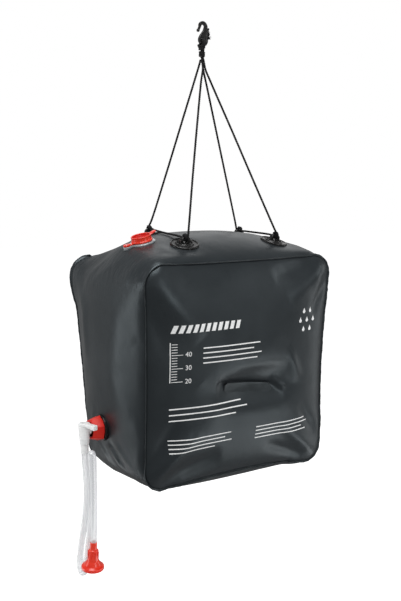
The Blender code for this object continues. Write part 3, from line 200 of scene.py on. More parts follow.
@dataclass(frozen=True)
class Finish:
    """One procedural finish on a Principled shader.

    Attributes:
        name: The material's name.
        colour: Its plain colour.
        other: The colour that its patches lean to.
        roughness: Its mean roughness.
        spread: How far the roughness wanders.
        grain: Texture scale of the fine bump, per metre.
        relief: Height of the fine bump, in metres.
        patches: Texture scale of the patches, per metre.
        coat: Weight of a clear coat.
        sheen: Weight of a fabric sheen.
        specular: Specular level.
    """

    name: str
    colour: Colour
    other: Colour
    roughness: float
    spread: float = 0.08
    grain: float = 900.0
    relief: float = 0.00003
    patches: float = 18.0
    coat: float = 0.0
    sheen: float = 0.0
    specular: float = 0.5

    def node(self, tree: bpy.types.NodeTree, kind: str, settings: Dict[str, Any], feeds: Dict[str, Any],
             output: Union[int, str] = 0) -> Signal:
        """Adds any node.

        Args:
            tree: The material's tree.
            kind: The node's type.
            settings: Its own settings, set first.
            feeds: Values or links of its sockets, by name.
            output: The socket that is read.

        Returns:
            That socket's value.
        """
        made = tree.nodes.new(kind)
        for key, value in settings.items():
            setattr(made, key, value)
        for key, value in feeds.items():
            Signal.feed(tree, made.inputs[key], value)
        return Signal(tree, made.outputs[output])

    def place(self, tree: bpy.types.NodeTree) -> Signal:
        """Object coordinates."""
        return self.node(tree, "ShaderNodeTexCoord", {}, {}, "Object")

    def noise(self, tree: bpy.types.NodeTree, where: Signal, scale: float, detail: float = 3.0) -> Signal:
        """A noise texture's value.

        Args:
            tree: The material's tree.
            where: Coordinates.
            scale: Texture scale, per metre.
            detail: Octaves.

        Returns:
            The noise, about 0.5 in the mean.
        """
        return self.node(
            tree, "ShaderNodeTexNoise", {}, {"Vector": where, "Scale": scale, "Detail": detail}, "Fac"
        )

    def mixed(self, tree: bpy.types.NodeTree, share: Union[Signal, float], low: Any, high: Any) -> Signal:
        """Mixes two colours.

        Args:
            tree: The material's tree.
            share: 0 for low and 1 for high.
            low: First colour.
            high: Second colour.

        Returns:
            The mixed colour.
        """
        made = tree.nodes.new("ShaderNodeMix")
        made.data_type = "RGBA"
        Signal.feed(tree, made.inputs[0], share)
        Signal.feed(tree, made.inputs[6], low)
        Signal.feed(tree, made.inputs[7], high)
        return Signal(tree, made.outputs[2])

    def height(self, tree: bpy.types.NodeTree, where: Signal) -> Signal:
        """Height of the fine relief, from 0 to 1."""
        return self.noise(tree, where, self.grain, 4.0)

    def tint(self, tree: bpy.types.NodeTree, where: Signal) -> Signal:
        """Colour over the surface."""
        share = self.noise(tree, where, self.patches, 4.0).rise(0.35, 0.7)
        return self.mixed(tree, share, self.colour, self.other)

    def gloss(self, tree: bpy.types.NodeTree, where: Signal) -> Signal:
        """Roughness over the surface."""
        wander = self.noise(tree, where, self.patches * 3.0, 5.0) - 0.5
        return (wander * (4.0 * self.spread) + self.roughness).clamped(0.03, 1.0)

    def settle(self, shader: bpy.types.Node) -> None:
        """Sets what is the same all over the surface.

        Args:
            shader: The finish's Principled shader.
        """
        shader.inputs["Coat Weight"].default_value = self.coat
        shader.inputs["Coat Roughness"].default_value = 0.08
        shader.inputs["Sheen Weight"].default_value = self.sheen
        shader.inputs["Specular IOR Level"].default_value = self.specular

    def material(self) -> bpy.types.Material:
        """The material, made on first use.

        Returns:
            The finish's material.
        """
        if self.name in bpy.data.materials:
            return bpy.data.materials[self.name]
        made = bpy.data.materials.new(self.name)
        made.use_nodes = True
        tree = made.node_tree
        shader = tree.nodes["Principled BSDF"]
        where = self.place(tree)
        self.settle(shader)
        Signal.feed(tree, shader.inputs["Base Color"], self.tint(tree, where))
        Signal.feed(tree, shader.inputs["Roughness"], self.gloss(tree, where))
        bump = self.node(
            tree, "ShaderNodeBump", {},
            {"Height": self.height(tree, where), "Distance": self.relief, "Strength": 1.0}, "Normal",
        )
        Signal.feed(tree, shader.inputs["Normal"], bump)
        made.diffuse_color = (*self.colour, 1.0)
        return made


class VinylFinish(Finish):
    """Calendered vinyl: fine pebble grain, scuffs and a greyish bloom in patches."""

    def settle(self, shader: bpy.types.Node) -> None:
        """Gives the reflections a cool cast."""
        Finish.settle(self, shader)
        shader.inputs["Specular Tint"].default_value = (0.80, 0.94, 1.0, 1.0)

    def height(self, tree: bpy.types.NodeTree, where: Signal) -> Signal:
        """Pebble grain over slow waves, with fine wrinkles by the bag's corners.

        Args:
            tree: The material's tree.
            where: Place on the piece.

        Returns:
            The height that feeds the Bump node.
        """
        pebble = self.node(
            tree, "ShaderNodeTexVoronoi", {"feature": "SMOOTH_F1"}, {"Vector": where, "Scale": self.grain},
            "Distance",
        )
        across, up = (
            self.node(tree, "ShaderNodeSeparateXYZ", {}, {"Vector": where}, axis) for axis in ("X", "Z")
        )
        away = (up - BAG_MIDDLE.z).unsigned()
        corner = across.unsigned().rise(0.13, 0.20) * away.rise(0.11, 0.19)
        wrinkle = self.noise(tree, self.node(
            tree, "ShaderNodeMapping", {}, {
                "Vector": where, "Rotation": (0.6, 0.3, 0.2), "Scale": (60.0, 150.0, 60.0)
            },
        ), 1.0, 3.0)
        waves = self.noise(tree, where, 60.0, 2.0) * 6.0 + wrinkle * corner * 26.0
        return pebble * 0.5 + self.noise(tree, where, self.grain * 0.18, 4.0) * 0.9 + waves

    def tint(self, tree: bpy.types.NodeTree, where: Signal) -> Signal:
        """Charcoal with a faint dusty bloom and hairline scuffs.

        Args:
            tree: The material's tree.
            where: Place on the piece.

        Returns:
            The colour at each place.
        """
        bloom = self.noise(tree, where, self.patches, 5.0).rise(0.42, 0.78)
        scratch = self.noise(tree, self.node(
            tree, "ShaderNodeMapping", {}, {
                "Vector": where, "Rotation": (0.4, 0.9, 0.3), "Scale": (1.0, 14.0, 3.0)
            },
        ), 26.0, 6.0).rise(0.66, 0.74)
        return self.mixed(tree, (bloom * 0.8 + scratch * 0.35).clamped(0.0, 1.0), self.colour, self.other)


class CordFinish(Finish):
    """Spun fibre: fine strands, on Object coordinates."""

    def height(self, tree: bpy.types.NodeTree, where: Signal) -> Signal:
        """Fine fibres along each ply."""
        return self.noise(tree, where, self.grain, 5.0)


class TranslucentFinish(Finish):
    """Moulding that lets some light through."""

    def settle(self, shader: bpy.types.Node) -> None:
        """Adds a little light from inside.

        Args:
            shader: The finish's Principled shader.
        """
        Finish.settle(self, shader)
        shader.inputs["Subsurface Weight"].default_value = 0.25
        shader.inputs["Subsurface Radius"].default_value = (0.004, 0.004, 0.004)
        shader.inputs["Subsurface Scale"].default_value = 1.0


class ClearFinish(Finish):
    """Clear soft tube: see-through in its middle, bright and thicker to look at by its edges, where its
    colour is painted darker as shade; painted light streaks run along it.
    """

    def material(self) -> bpy.types.Material:
        """The material, with its opacity by the angle of its wall.

        Returns:
            The tube's material.
        """
        known = self.name in bpy.data.materials
        made = Finish.material(self)
        if known:
            return made
        tree = made.node_tree
        shader = tree.nodes["Principled BSDF"]
        facing = self.node(tree, "ShaderNodeLayerWeight", {}, {"Blend": 0.35}, "Facing")
        where = self.place(tree)
        stretched = self.node(tree, "ShaderNodeMapping", {}, {"Vector": where, "Scale": (240.0, 240.0, 4.0)})
        streak = self.noise(tree, stretched, 1.0, 3.0).rise(0.38, 0.66)
        Signal.feed(tree, shader.inputs["Alpha"], (facing * 0.46 + streak * 0.08 + 0.24).clamped(0.0, 0.95))
        # painted light: lighter streaks in the tube's colour stand in for the reflections in a clear tube
        painted_streak_light = self.noise(tree, stretched, 0.6, 2.0).rise(0.36, 0.62)
        body = self.mixed(tree, painted_streak_light, self.colour, self.other)
        # painted shade: the colour darkens towards the tube's edges, standing in for the refraction there
        Signal.feed(tree, shader.inputs["Base Color"], self.mixed(
            tree, facing.rise(0.45, 0.85), body, (0.40, 0.43, 0.47)
        ))
        made.surface_render_method = "BLENDED"
        return made


MOULDED_DEGREES = 38.0  # edges of mouldings sharper than this stay crisp
VINYL = VinylFinish(
    "charcoal_vinyl", (0.017, 0.020, 0.0225), (0.027, 0.031, 0.034), 0.36, 0.05, 1400.0, 0.00004, 9.0
)
# Weld vinyl, lighter than the skin: partly the weld's own tone, partly painted light for the lit lower face
# of the tie bar.
WELD_VINYL_PAINTED_LIGHT = VinylFinish(
    "welded_vinyl_painted_light", (0.022, 0.025, 0.027), (0.05, 0.056, 0.06), 0.33, 0.05, 1400.0, 0.00006, 40.0
)
MOULDING = Finish(
    "black_moulding", (0.012, 0.012, 0.013), (0.018, 0.018, 0.020), 0.20, 0.05, 700.0, 0.00002, 60.0, 0.6
)
CORD = CordFinish("black_cord_fibre", (0.003, 0.003, 0.0035), (0.012, 0.012, 0.013), 0.80, 0.06, 5200.0,
    0.00010, 600.0,
                  0.0, 0.04, 0.3)
RED = Finish("red_moulding", (0.78, 0.030, 0.014), (0.85, 0.050, 0.022), 0.26, 0.05, 800.0, 0.00002, 50.0,
    0.55, 0.0, 0.30)
# A darker copy of the red moulding for the tap nut: painted shade, offsetting the light that the nut's faces
# catch.
NUT_RED_PAINTED_SHADE = Finish("red_moulding_satin_painted_shade", (0.64, 0.016, 0.010), (0.72, 0.026, 0.014), 0.34, 0.05, 800.0, 0.00002,
    50.0, 0.0, 0.0, 0.18)
# A darker copy of the red moulding: painted shade for the hollow of the cap's dish.
RED_PAINTED_SHADE = Finish("red_moulding_painted_shade", (0.46, 0.006, 0.004), (0.56, 0.012, 0.006), 0.30, 0.05, 800.0, 0.00002,
    50.0, 0.0, 0.0, 0.22)
WHITE = TranslucentFinish(
    "white_moulding", (0.90, 0.92, 0.92), (0.95, 0.95, 0.94), 0.28, 0.05, 700.0, 0.00002, 70.0
)
PALE = TranslucentFinish(
    "pale_flange", (0.20, 0.22, 0.23), (0.42, 0.45, 0.46), 0.20, 0.05, 500.0, 0.00003, 60.0
)
CLEAR = ClearFinish(
    "clear_tube", (0.84, 0.86, 0.89), (0.97, 0.98, 0.99), 0.10, 0.01, 300.0, 0.00001, 90.0, 0.2
)
RUBBER = Finish("rubber_ring", (0.018, 0.018, 0.018), (0.030, 0.030, 0.030), 0.62, 0.06, 900.0, 0.00003, 80.0)
INK = Finish("white_ink", (0.88, 0.89, 0.89), (0.74, 0.75, 0.75), 0.45, 0.08, 1600.0, 0.00003, 260.0)


@dataclass
class Piece:
    """One named piece of the dressed part.

    Attributes:
        name: The piece's name.
        finish: Its finish.
        slot: The record's slot of its finish; not used.
        body: The body that it rides on.
        stands_for: CAD nodes that it replaces.
    """

    name: str
    finish: Finish
    slot: Slot
    body: str = "bag"
    stands_for: Tuple[str, ...] = ()

    def add(self, mesh: bpy.types.Mesh, smooth_degrees: float = 40.0) -> bpy.types.Object:
        """Adds the piece to the scene and ties it to the frame.

        Args:
            mesh: Its mesh, in the row frame.
            smooth_degrees: Edges sharper than this stay sharp.

        Returns:
            The piece's object.
        """
        thing = bpy.data.objects.new(self.name, mesh)
        bpy.context.scene.collection.objects.link(thing)
        mesh.materials.clear()
        mesh.materials.append(self.finish.material())
        mesh.shade_smooth()
        mesh.set_sharp_from_angle(angle=math.radians(smooth_degrees))
        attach(thing, self.body)
        if self.stands_for:
            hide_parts(*self.stands_for)
        LOG.info("piece %s: %d faces", self.name, len(mesh.polygons))
        return thing

    def add_shape(self, shape: bmesh.types.BMesh, smooth_degrees: float = 40.0) -> bpy.types.Object:
        """Adds the piece from a bmesh, which is freed.

        Args:
            shape: The finished shape.
            smooth_degrees: Edges sharper than this stay crisp.

        Returns:
            The piece's object.
        """
        mesh = bpy.data.meshes.new(self.name)
        shape.to_mesh(mesh)
        shape.free()
        return self.add(mesh, smooth_degrees)


class Shaper:
    """Small modelling moves that the pieces share."""

    @staticmethod
    def soften(points: Profile, radius: float, steps: int = 3,
        closed: bool = False) -> List[Tuple[float, float]]:
        """Rounds the corners of a flat outline.

        Args:
            points: The outline.
            radius: How far from each corner its rounding starts.
            steps: Points in each rounding, less one.
            closed: Whether the last point joins the first.

        Returns:
            The rounded outline.
        """
        knots = [Vector(point) for point in points]
        count = len(knots)
        made: List[Tuple[float, float]] = []
        for index, knot in enumerate(knots):
            if not closed and index in (0, count - 1):
                made.append(tuple(knot))
                continue
            before = knots[index - 1] - knot
            after = knots[(index + 1) % count] - knot
            reach = min(radius, before.length * 0.45, after.length * 0.45)
            start = knot + before.normalized() * reach
            end = knot + after.normalized() * reach
            for step in range(steps + 1):
                share = step / steps
                made.append(
                    tuple(start * (1 - share) ** 2 + knot * 2 * share * (1 - share) + end * share ** 2)
                )
        return made

    @staticmethod
    def turned(profile: Profile, steps: int = 64, closed: bool = False) -> bmesh.types.BMesh:
        """Spins a (radius, height) profile about Z.

        Args:
            profile: The profile, radius 0 on the axis.
            steps: Steps round the axis.
            closed: Whether the profile is a closed ring.

        Returns:
            The turned shape, faces out.
        """
        shape = bmesh.new()
        verts = [shape.verts.new((radius, 0.0, height)) for radius, height in profile]
        pairs = list(zip(verts, verts[1:])) + ([(verts[-1], verts[0])] if closed else [])
        edges = [shape.edges.new(pair) for pair in pairs]
        bmesh.ops.spin(
            shape, geom=verts + edges, cent=(0, 0, 0), axis=(0, 0, 1), dvec=(0, 0, 0), angle=math.tau,
            steps=steps, use_merge=True, use_duplicate=False,
        )
        bmesh.ops.remove_doubles(shape, verts=shape.verts[:], dist=1e-6)
        bmesh.ops.recalc_face_normals(shape, faces=shape.faces[:])
        return shape

    @staticmethod
    def slab(outline: Profile, low: float, high: float, bevel: float = 0.0,
        segments: int = 3) -> bmesh.types.BMesh:
        """Extrudes a closed (x, y) outline and rounds its edges.

        Args:
            outline: The outline.
            low: Lower height.
            high: Upper height.
            bevel: Width of the rounding.
            segments: Steps in the rounding.

        Returns:
            The slab, faces out.
        """
        shape = bmesh.new()
        face = shape.faces.new([shape.verts.new((x, y, low)) for x, y in outline])
        grown = bmesh.ops.extrude_face_region(shape, geom=[face])
        raised = [item for item in grown["geom"] if isinstance(item, bmesh.types.BMVert)]
        bmesh.ops.translate(shape, verts=raised, vec=(0, 0, high - low))
        bmesh.ops.recalc_face_normals(shape, faces=shape.faces[:])
        if bevel:
            sharp = [edge for edge in shape.edges if edge.calc_face_angle(0.0) > math.radians(50.0)]
            bmesh.ops.bevel(
                shape, geom=sharp, offset=bevel, offset_type="OFFSET", affect="EDGES", segments=segments,
                profile=0.5, material=-1, clamp_overlap=True,
            )
        return shape

    @staticmethod
    def put(shape: bmesh.types.BMesh, matrix: Matrix,
        other: Optional[bmesh.types.BMesh] = None) -> bmesh.types.BMesh:
        """Places a shape, and adds it to another where one is given.

        Args:
            shape: The shape that is placed.
            matrix: Its place.
            other: The shape that takes it in.

        Returns:
            The placed or grown shape.
        """
        bmesh.ops.transform(shape, matrix=matrix, verts=shape.verts[:])
        if other is None:
            return shape
        passing = bpy.data.meshes.new("passing")
        shape.to_mesh(passing)
        shape.free()
        other.from_mesh(passing)
        bpy.data.meshes.remove(passing)
        return other

    @staticmethod
    def frame_along(origin: Vector, normal: Vector, across: Vector) -> Matrix:
        """Frame with Z along normal and X as near as it can be to across.

        Args:
            origin: The frame's place.
            normal: Its Z.
            across: The direction that X leans to.

        Returns:
            The frame.
        """
        upward = normal.normalized()
        sideways = (across - upward * upward.dot(across)).normalized()
        turn = Matrix((sideways, upward.cross(sideways), upward)).transposed().to_4x4()
        return Matrix.Translation(origin) @ turn


@dataclass(frozen=True)
class Fold:
    """A soft crease or ridge pressed into the skin.

    Attributes:
        path: Its line, from the bag's middle.
        width: Half its width.
        rise: Its height, below 0 for a valley.
    """

    path: Sequence[Point]
    width: float
    rise: float

    def heights(self, points: np.ndarray) -> np.ndarray:
        """Height at each point, fading to both ends of the line.

        Args:
            points: Places from the bag's middle, one row each.

        Returns:
            The height at each place.
        """
        knots = np.array(self.path)
        total = float(np.linalg.norm(np.diff(knots, axis=0), axis=1).sum())
        best = np.full(len(points), np.inf)
        along = np.zeros(len(points))
        done = 0.0
        for start, end in zip(knots, knots[1:]):
            run = end - start
            length = float(np.linalg.norm(run))
            share = np.clip(((points - start) @ run) / length ** 2, 0, 1)
            away = np.linalg.norm(points - start - share[:, None] * run, axis=1)
            nearer = away < best
            best = np.where(nearer, away, best)
            along = np.where(nearer, (done + share * length) / total, along)
            done += length
        fade = np.sin(np.pi * np.clip(along, 0, 1)) ** 0.7
        return self.rise * fade * np.exp(-((best / self.width) ** 2))


@dataclass(frozen=True)
class Crease(Fold):
    """A sharp valley across the front, with its own width below its line.

    Attributes:
        below: Width of its lower side.
    """

    below: float = 0.022

    def heights(self, points: np.ndarray) -> np.ndarray:
        """Height at each point of the front, fading to both ends of the line.

        Args:
            points: Places from the bag's middle, one row each.

        Returns:
            The height at each place.
        """
        (x_start, _, z_start), (x_end, _, z_end) = self.path[0], self.path[-1]
        share = np.clip((points[:, 0] - x_start) / (x_end - x_start), 0, 1)
        above = points[:, 2] - (z_start + (z_end - z_start) * share)
        width = np.where(above > 0, self.width, self.below)
        fade = np.sin(np.pi * share) ** 0.5
        return np.where(points[:, 1] < 0, self.rise * fade * np.exp(-np.abs(above) / width), 0.0)


@dataclass(frozen=True)
class BagForm:
    """The bag's filled form between the corners of its welded seams, as in the CAD.

    Lengths are in metres, from the bag's middle.
    """

    height: float = 0.400
    width_top: float = 0.402
    width_bottom: float = 0.393
    front_top: float = 0.128
    front_bottom: float = 0.114
    back_top: float = 0.154
    back_bottom: float = 0.092
    corner: float = 0.042
    top_puff: float = 0.042
    bottom_puff: float = 0.030
    side_puff: float = 0.024
    corner_puff: float = 0.005
    seam_pinch: float = 0.004
    front_puff: float = 0.034
    back_puff: float = 0.034
    tie_x: float = 0.019
    tie_z: float = -0.027
    dimple: float = 0.013
    dimple_half_width: float = 0.080
    dimple_half_height: float = 0.030

    def width_share(self, z: np.ndarray) -> np.ndarray:
        """Width at a height, as a share of the mean width."""
        mean = (self.width_top + self.width_bottom) / 2
        return 1 + (self.width_top - self.width_bottom) * z / (self.height * mean)

    def seam_y(self, z: np.ndarray, side: float) -> np.ndarray:
        """Depth of the front (-1) or back (1) seam at a height.

        Args:
            z: Heights from the bag's middle.
            side: -1 for the front, 1 for the back.

        Returns:
            The seam's y at each height.
        """
        share = z / self.height + 0.5
        if side < 0:
            return -(self.front_bottom + (self.front_top - self.front_bottom) * share)
        return self.back_bottom + (self.back_top - self.back_bottom) * share

    def outline(self, turn: np.ndarray) -> Tuple[np.ndarray, np.ndarray, np.ndarray, np.ndarray]:
        """The rounded outline.

        Args:
            turn: 0 to 4 round the bag, a whole number at each corner's middle.

        Returns:
            x, z and the outward direction's x and z.
        """
        half_width = (self.width_top + self.width_bottom) / 4
        half_height = self.height / 2
        side = np.floor(turn).astype(int) % 4
        level = side % 2 == 0
        along = np.where(level, half_width, half_height)
        out = np.where(level, half_height, half_width)
        straight = along - self.corner
        arc = self.corner * math.pi / 4
        gone = (turn - np.floor(turn)) * (2 * straight + 2 * arc)
        last = arc + 2 * straight
        lean = np.where(gone < arc, math.pi / 4 - gone / self.corner, 0.0)
        lean = np.where(gone > last, -(gone - last) / self.corner, lean)
        share = np.clip((gone - arc) / (2 * straight), 0, 1)
        place = straight * (1 - 2 * share) + self.corner * np.sin(lean)
        reach = out - self.corner + self.corner * np.cos(lean)
        sine, cosine = np.sin(lean), np.cos(lean)
        x = np.choose(side, [place, -reach, -place, reach])
        z = np.choose(side, [reach, place, -reach, -place])
        normal_x = np.choose(side, [sine, -cosine, -sine, cosine])
        normal_z = np.choose(side, [cosine, sine, -cosine, -sine])
        return x, z, normal_x, normal_z

    def edge(self, x: np.ndarray, z: np.ndarray, normal_x: np.ndarray, normal_z: np.ndarray,
             puff: np.ndarray) -> Tuple[np.ndarray, np.ndarray]:
        """The outline moved by its swelling; puff is 0 on a seam and 1 at mid depth.

        Args:
            x: Places across.
            z: Heights.
            normal_x: Outward direction across.
            normal_z: Outward direction up.
            puff: 0 on a seam and 1 at mid depth.

        Returns:
            The moved places across and heights.
        """
        across = np.abs(4 * x / (self.width_top + self.width_bottom))
        up = np.abs(2 * z / self.height)
        high = np.where(normal_z > 0, self.top_puff, self.bottom_puff)
        push_x = self.corner_puff + (self.side_puff - self.corner_puff) * np.maximum(0, 1 - up ** 2.5)
        push_z = self.corner_puff + (high - self.corner_puff) * np.maximum(0, 1 - across ** 2.5)
        pinch_x = self.seam_pinch * np.maximum(0, 1 - up * up) * (1 - puff)
        pinch_z = self.seam_pinch * np.maximum(0, 1 - across * across) * (1 - puff)
        moved_x = x * self.width_share(z) + normal_x * (push_x * puff - pinch_x)
        moved_z = z + normal_z * (push_z * puff - pinch_z)
        return moved_x, moved_z

    def gusset(self, turn: np.ndarray, depth: np.ndarray) -> np.ndarray:
        """Points of the gusset; depth runs from -1 (front) to 1 (back).

        Args:
            turn: Place round the bag, 0 to 4.
            depth: -1 at the front and 1 at the back.

        Returns:
            One point per row.
        """
        puff = np.maximum(0, 1 - depth * depth) ** 0.8
        x0, z0, normal_x, normal_z = self.outline(turn)
        x, z = self.edge(x0, z0, normal_x, normal_z, puff)
        front, back = self.seam_y(z0, -1), self.seam_y(z0, 1)
        return np.stack([x, (front + back) / 2 + (back - front) / 2 * depth, z], axis=1)

    def panel(self, across: np.ndarray, up: np.ndarray, side: float) -> np.ndarray:
        """Points of the front (-1) or back (1) panel; across and up run from -1 to 1.

        Args:
            across: -1 to 1 over the width.
            up: -1 to 1 over the height.
            side: -1 for the front, 1 for the back.

        Returns:
            One point per row.
        """
        ring = np.maximum(np.maximum(np.abs(across), np.abs(up)), 1e-9)
        right, high = across / ring, up / ring
        turn = np.where(high >= 1 - 1e-9, (1 - right) / 2, 3 + (1 + high) / 2)
        turn = np.where((right <= -1 + 1e-9) & (high < 1 - 1e-9), 1 + (1 - high) / 2, turn)
        turn = np.where((high <= -1 + 1e-9) & (right > -1 + 1e-9), 2 + (1 + right) / 2, turn)
        turn = np.where((right >= 1 - 1e-9) & (np.abs(high) < 1 - 1e-9), 3 + (1 + high) / 2, turn)
        turn = np.mod(turn, 4)
        x0, z0, normal_x, normal_z = self.outline(turn)
        edge_x, edge_z = self.edge(x0, z0, normal_x, normal_z, np.zeros(len(x0)))
        x, z = edge_x * ring, edge_z * ring
        puff = self.front_puff if side < 0 else self.back_puff
        swell = puff * np.maximum(0, 1 - ring * ring) ** 0.75
        from_x = (x - self.tie_x) / self.dimple_half_width
        from_z = (z - self.tie_z) / self.dimple_half_height
        dimple = self.dimple * np.exp(-from_x ** 4 - from_z ** 2)
        return np.stack([x, self.seam_y(z0 * ring, side) + side * (swell - dimple), z], axis=1)

    def top_frame(self, x: float, y: float) -> Matrix:
        """Frame on the top, in the row frame: Z out of the skin, X towards +X.

        Args:
            x: Place across.
            y: Place in depth.

        Returns:
            The frame on the skin.
        """
        def above(place_x: float, place_y: float) -> Vector:
            """Point on the top above a place.

            Args:
                place_x: Place across.
                place_y: Place in depth.

            Returns:
                The point on the skin.
            """
            high = self.height / 2
            front, back = float(self.seam_y(high, -1)), float(self.seam_y(high, 1))
            depth = (2 * place_y - front - back) / (back - front)
            share = float(self.width_share(high))
            _, z = self.edge(
                np.array([place_x / share]), np.array([high]), np.array([0.0]), np.array([1.0]),
                np.array([max(0.0, 1 - depth * depth) ** 0.8]),
            )
            return Vector((place_x, place_y, float(z[0])))
        step = 0.001
        along = above(x + step, y) - above(x - step, y)
        deep = above(x, y + step) - above(x, y - step)
        return Shaper.frame_along(above(x, y) + BAG_MIDDLE, along.cross(deep), along)


@dataclass
class BagSkin:
    """The inflated vinyl bag: two panels and the gusset band, with their seams, folds and puckers.

    Attributes:
        form: The bag's filled form.
        grid: Grid cells across a panel.
        rows: Grid rows across the gusset.
        sheet: Thickness of the vinyl.
        pucker_gain: How strongly the simulated puckers show.
        front_gain: The same on the front panel.
        pucker_limit: Most that a pucker may rise.
        flat_spots: Centre and radius of each place that a fitting holds flat.
        folds: Folds that are added.
    """

    form: BagForm
    grid: int = 70
    rows: int = 42
    sheet: float = 0.0012
    pucker_gain: float = 1.0
    front_gain: float = 0.45
    pucker_limit: float = 0.0045
    flat_spots: List[Tuple[Vector, float]] = field(default_factory=list)
    folds: List[Fold] = field(default_factory=list)

    def surface(self, form: BagForm) -> bmesh.types.BMesh:
        """The whole closed skin on one grid.

        Args:
            form: The form that it follows.

        Returns:
            The skin about the bag's middle; its faces carry 0, 1 or 2 for front, back and gusset.
        """
        shape = bmesh.new()
        part = shape.faces.layers.int.new("part")
        for side in (-1.0, 1.0):
            made = bmesh.ops.create_grid(shape, x_segments=self.grid, y_segments=self.grid, size=1.0)["verts"]
            flat = np.array([vert.co for vert in made])
            across, up = flat[:, 0], flat[:, 1]
            if side < 0:
                from_tie = up + 0.1225 + 0.127 * across
                up = up - (
                    0.65 * from_tie * np.exp(-(from_tie / 0.14) ** 2) * (1 - across ** 6) * (1 - up ** 6)
                )
            for vert, place in zip(made, form.panel(across, up, side)):
                vert.co = place
            for face in {face for vert in made for face in vert.link_faces}:
                face[part] = 0 if side < 0 else 1
        made = bmesh.ops.create_grid(shape, x_segments=4 * self.grid, y_segments=self.rows, size=1.0)["verts"]
        flat = np.array([vert.co for vert in made])
        for vert, place in zip(made, form.gusset(np.mod((flat[:, 0] + 1) * 2, 4), flat[:, 1])):
            vert.co = place
        for face in {face for vert in made for face in vert.link_faces}:
            face[part] = 2
        bmesh.ops.remove_doubles(shape, verts=shape.verts[:], dist=1e-5)
        bmesh.ops.recalc_face_normals(shape, faces=shape.faces[:])
        return shape

    @staticmethod
    def relaxed(points: np.ndarray, edges: np.ndarray, rounds: int) -> np.ndarray:
        """Points smoothed along their edges.

        Args:
            points: The points.
            edges: Pairs of points.
            rounds: Times that each point goes to the mean of its neighbours.

        Returns:
            The smoothed points.
        """
        count = np.bincount(edges.ravel(), minlength=len(points))[:, None]
        for _ in range(rounds):
            total = np.zeros_like(points)
            np.add.at(total, edges[:, 0], points[edges[:, 1]])
            np.add.at(total, edges[:, 1], points[edges[:, 0]])
            points = 0.5 * points + 0.5 * total / count
        return points

    def puckers(self, frames: int = 26) -> np.ndarray:
        """Blows up the flat-cut bag as cloth and reads the puckers that its seams draw in.

        Args:
            frames: Frames of the simulation.

        Returns:
            Height of the puckers at each point of the grid.
        """
        cut = replace(
            self.form, top_puff=0.004, bottom_puff=0.004, side_puff=0.004, corner_puff=0.0, seam_pinch=0.0,
            front_puff=0.006, back_puff=0.006, dimple=0.0,
        )
        mesh = bpy.data.meshes.new("cut_bag")
        shape = self.surface(cut)
        shape.to_mesh(mesh)
        shape.free()
        bag = bpy.data.objects.new("cut_bag", mesh)
        bpy.context.scene.collection.objects.link(bag)
        tie = bag.vertex_groups.new(name="tie")
        points = np.array([vert.co for vert in mesh.vertices])
        held = (np.abs(points[:, 0] - self.form.tie_x) < 0.065) & (
            np.abs(points[:, 2] - self.form.tie_z) < 0.012
        )
        tie.add([int(index) for index in np.nonzero(held)[0]], 1.0, "REPLACE")
        cloth = bag.modifiers.new("Cloth", "CLOTH")
        settings = cloth.settings
        settings.quality = 6
        settings.mass = 0.25
        settings.tension_stiffness = 60.0
        settings.compression_stiffness = 60.0
        settings.shear_stiffness = 12.0
        settings.bending_stiffness = 0.15
        settings.tension_damping = 8.0
        settings.compression_damping = 8.0
        settings.air_damping = 2.0
        settings.use_pressure = True
        settings.uniform_pressure_force = 9.0
        settings.vertex_group_mass = "tie"
        settings.effector_weights.gravity = 0.0
        cloth.point_cache.frame_start = 1
        cloth.point_cache.frame_end = frames
        scene = bpy.context.scene
        for step in range(1, frames + 1):
            scene.frame_set(step)
        blown = bag.evaluated_get(bpy.context.evaluated_depsgraph_get()).to_mesh()
        points = np.array([vert.co for vert in blown.vertices])
        edges = np.array([tuple(edge.vertices) for edge in blown.edges])
        bag.evaluated_get(bpy.context.evaluated_depsgraph_get()).to_mesh_clear()
        bpy.data.objects.remove(bag)
        scene.frame_set(1)
        smooth = self.relaxed(points, edges, 40)
        normals = self.normals(mesh, smooth)
        bpy.data.meshes.remove(mesh)
        heights = ((points - smooth) * normals).sum(axis=1)
        return self.relaxed(heights[:, None], edges, 2)[:, 0]

    @staticmethod
    def normals(mesh: bpy.types.Mesh, points: np.ndarray) -> np.ndarray:
        """Outward directions of a mesh's vertices at other places.

        Args:
            mesh: The mesh, whose vertices are moved to the points.
            points: The places, one row for each vertex.

        Returns:
            One direction per row.
        """
        mesh.vertices.foreach_set("co", points.astype(np.float32).ravel())
        mesh.update()
        found = np.zeros(len(mesh.vertices) * 3, np.float32)
        mesh.vertex_normals.foreach_get("vector", found)
        return found.reshape(-1, 3).astype(float)

    def shares(self, shape: bmesh.types.BMesh) -> np.ndarray:
        """How strongly the puckers show: little on the welded seams and on the taut front.

        Args:
            shape: The whole skin.

        Returns:
            A share for each point.
        """
        part = shape.faces.layers.int["part"]
        shape.verts.ensure_lookup_table()
        codes = [{face[part] for face in vert.link_faces} for vert in shape.verts]
        places = np.array([vert.co for vert in shape.verts])
        seam = places[[len(found) > 1 for found in codes]]
        away = np.full(len(places), np.inf)
        for chunk in np.array_split(seam, 12):
            away = np.minimum(away, np.linalg.norm(places[:, None] - chunk[None], axis=2).min(axis=1))
        gain = np.array([self.front_gain if found == {0} else self.pucker_gain for found in codes])
        corner = np.minimum(np.abs(places[:, 0]), np.abs(places[:, 2])) / 0.2
        gain = gain * (0.2 + 0.8 * np.clip((corner - 0.35) / 0.4, 0, 1))
        return gain * (0.12 + 0.88 * np.clip(away / 0.014, 0, 1)) * (
            0.2 + 0.8 * np.exp(-((away / 0.06) ** 2))
        )

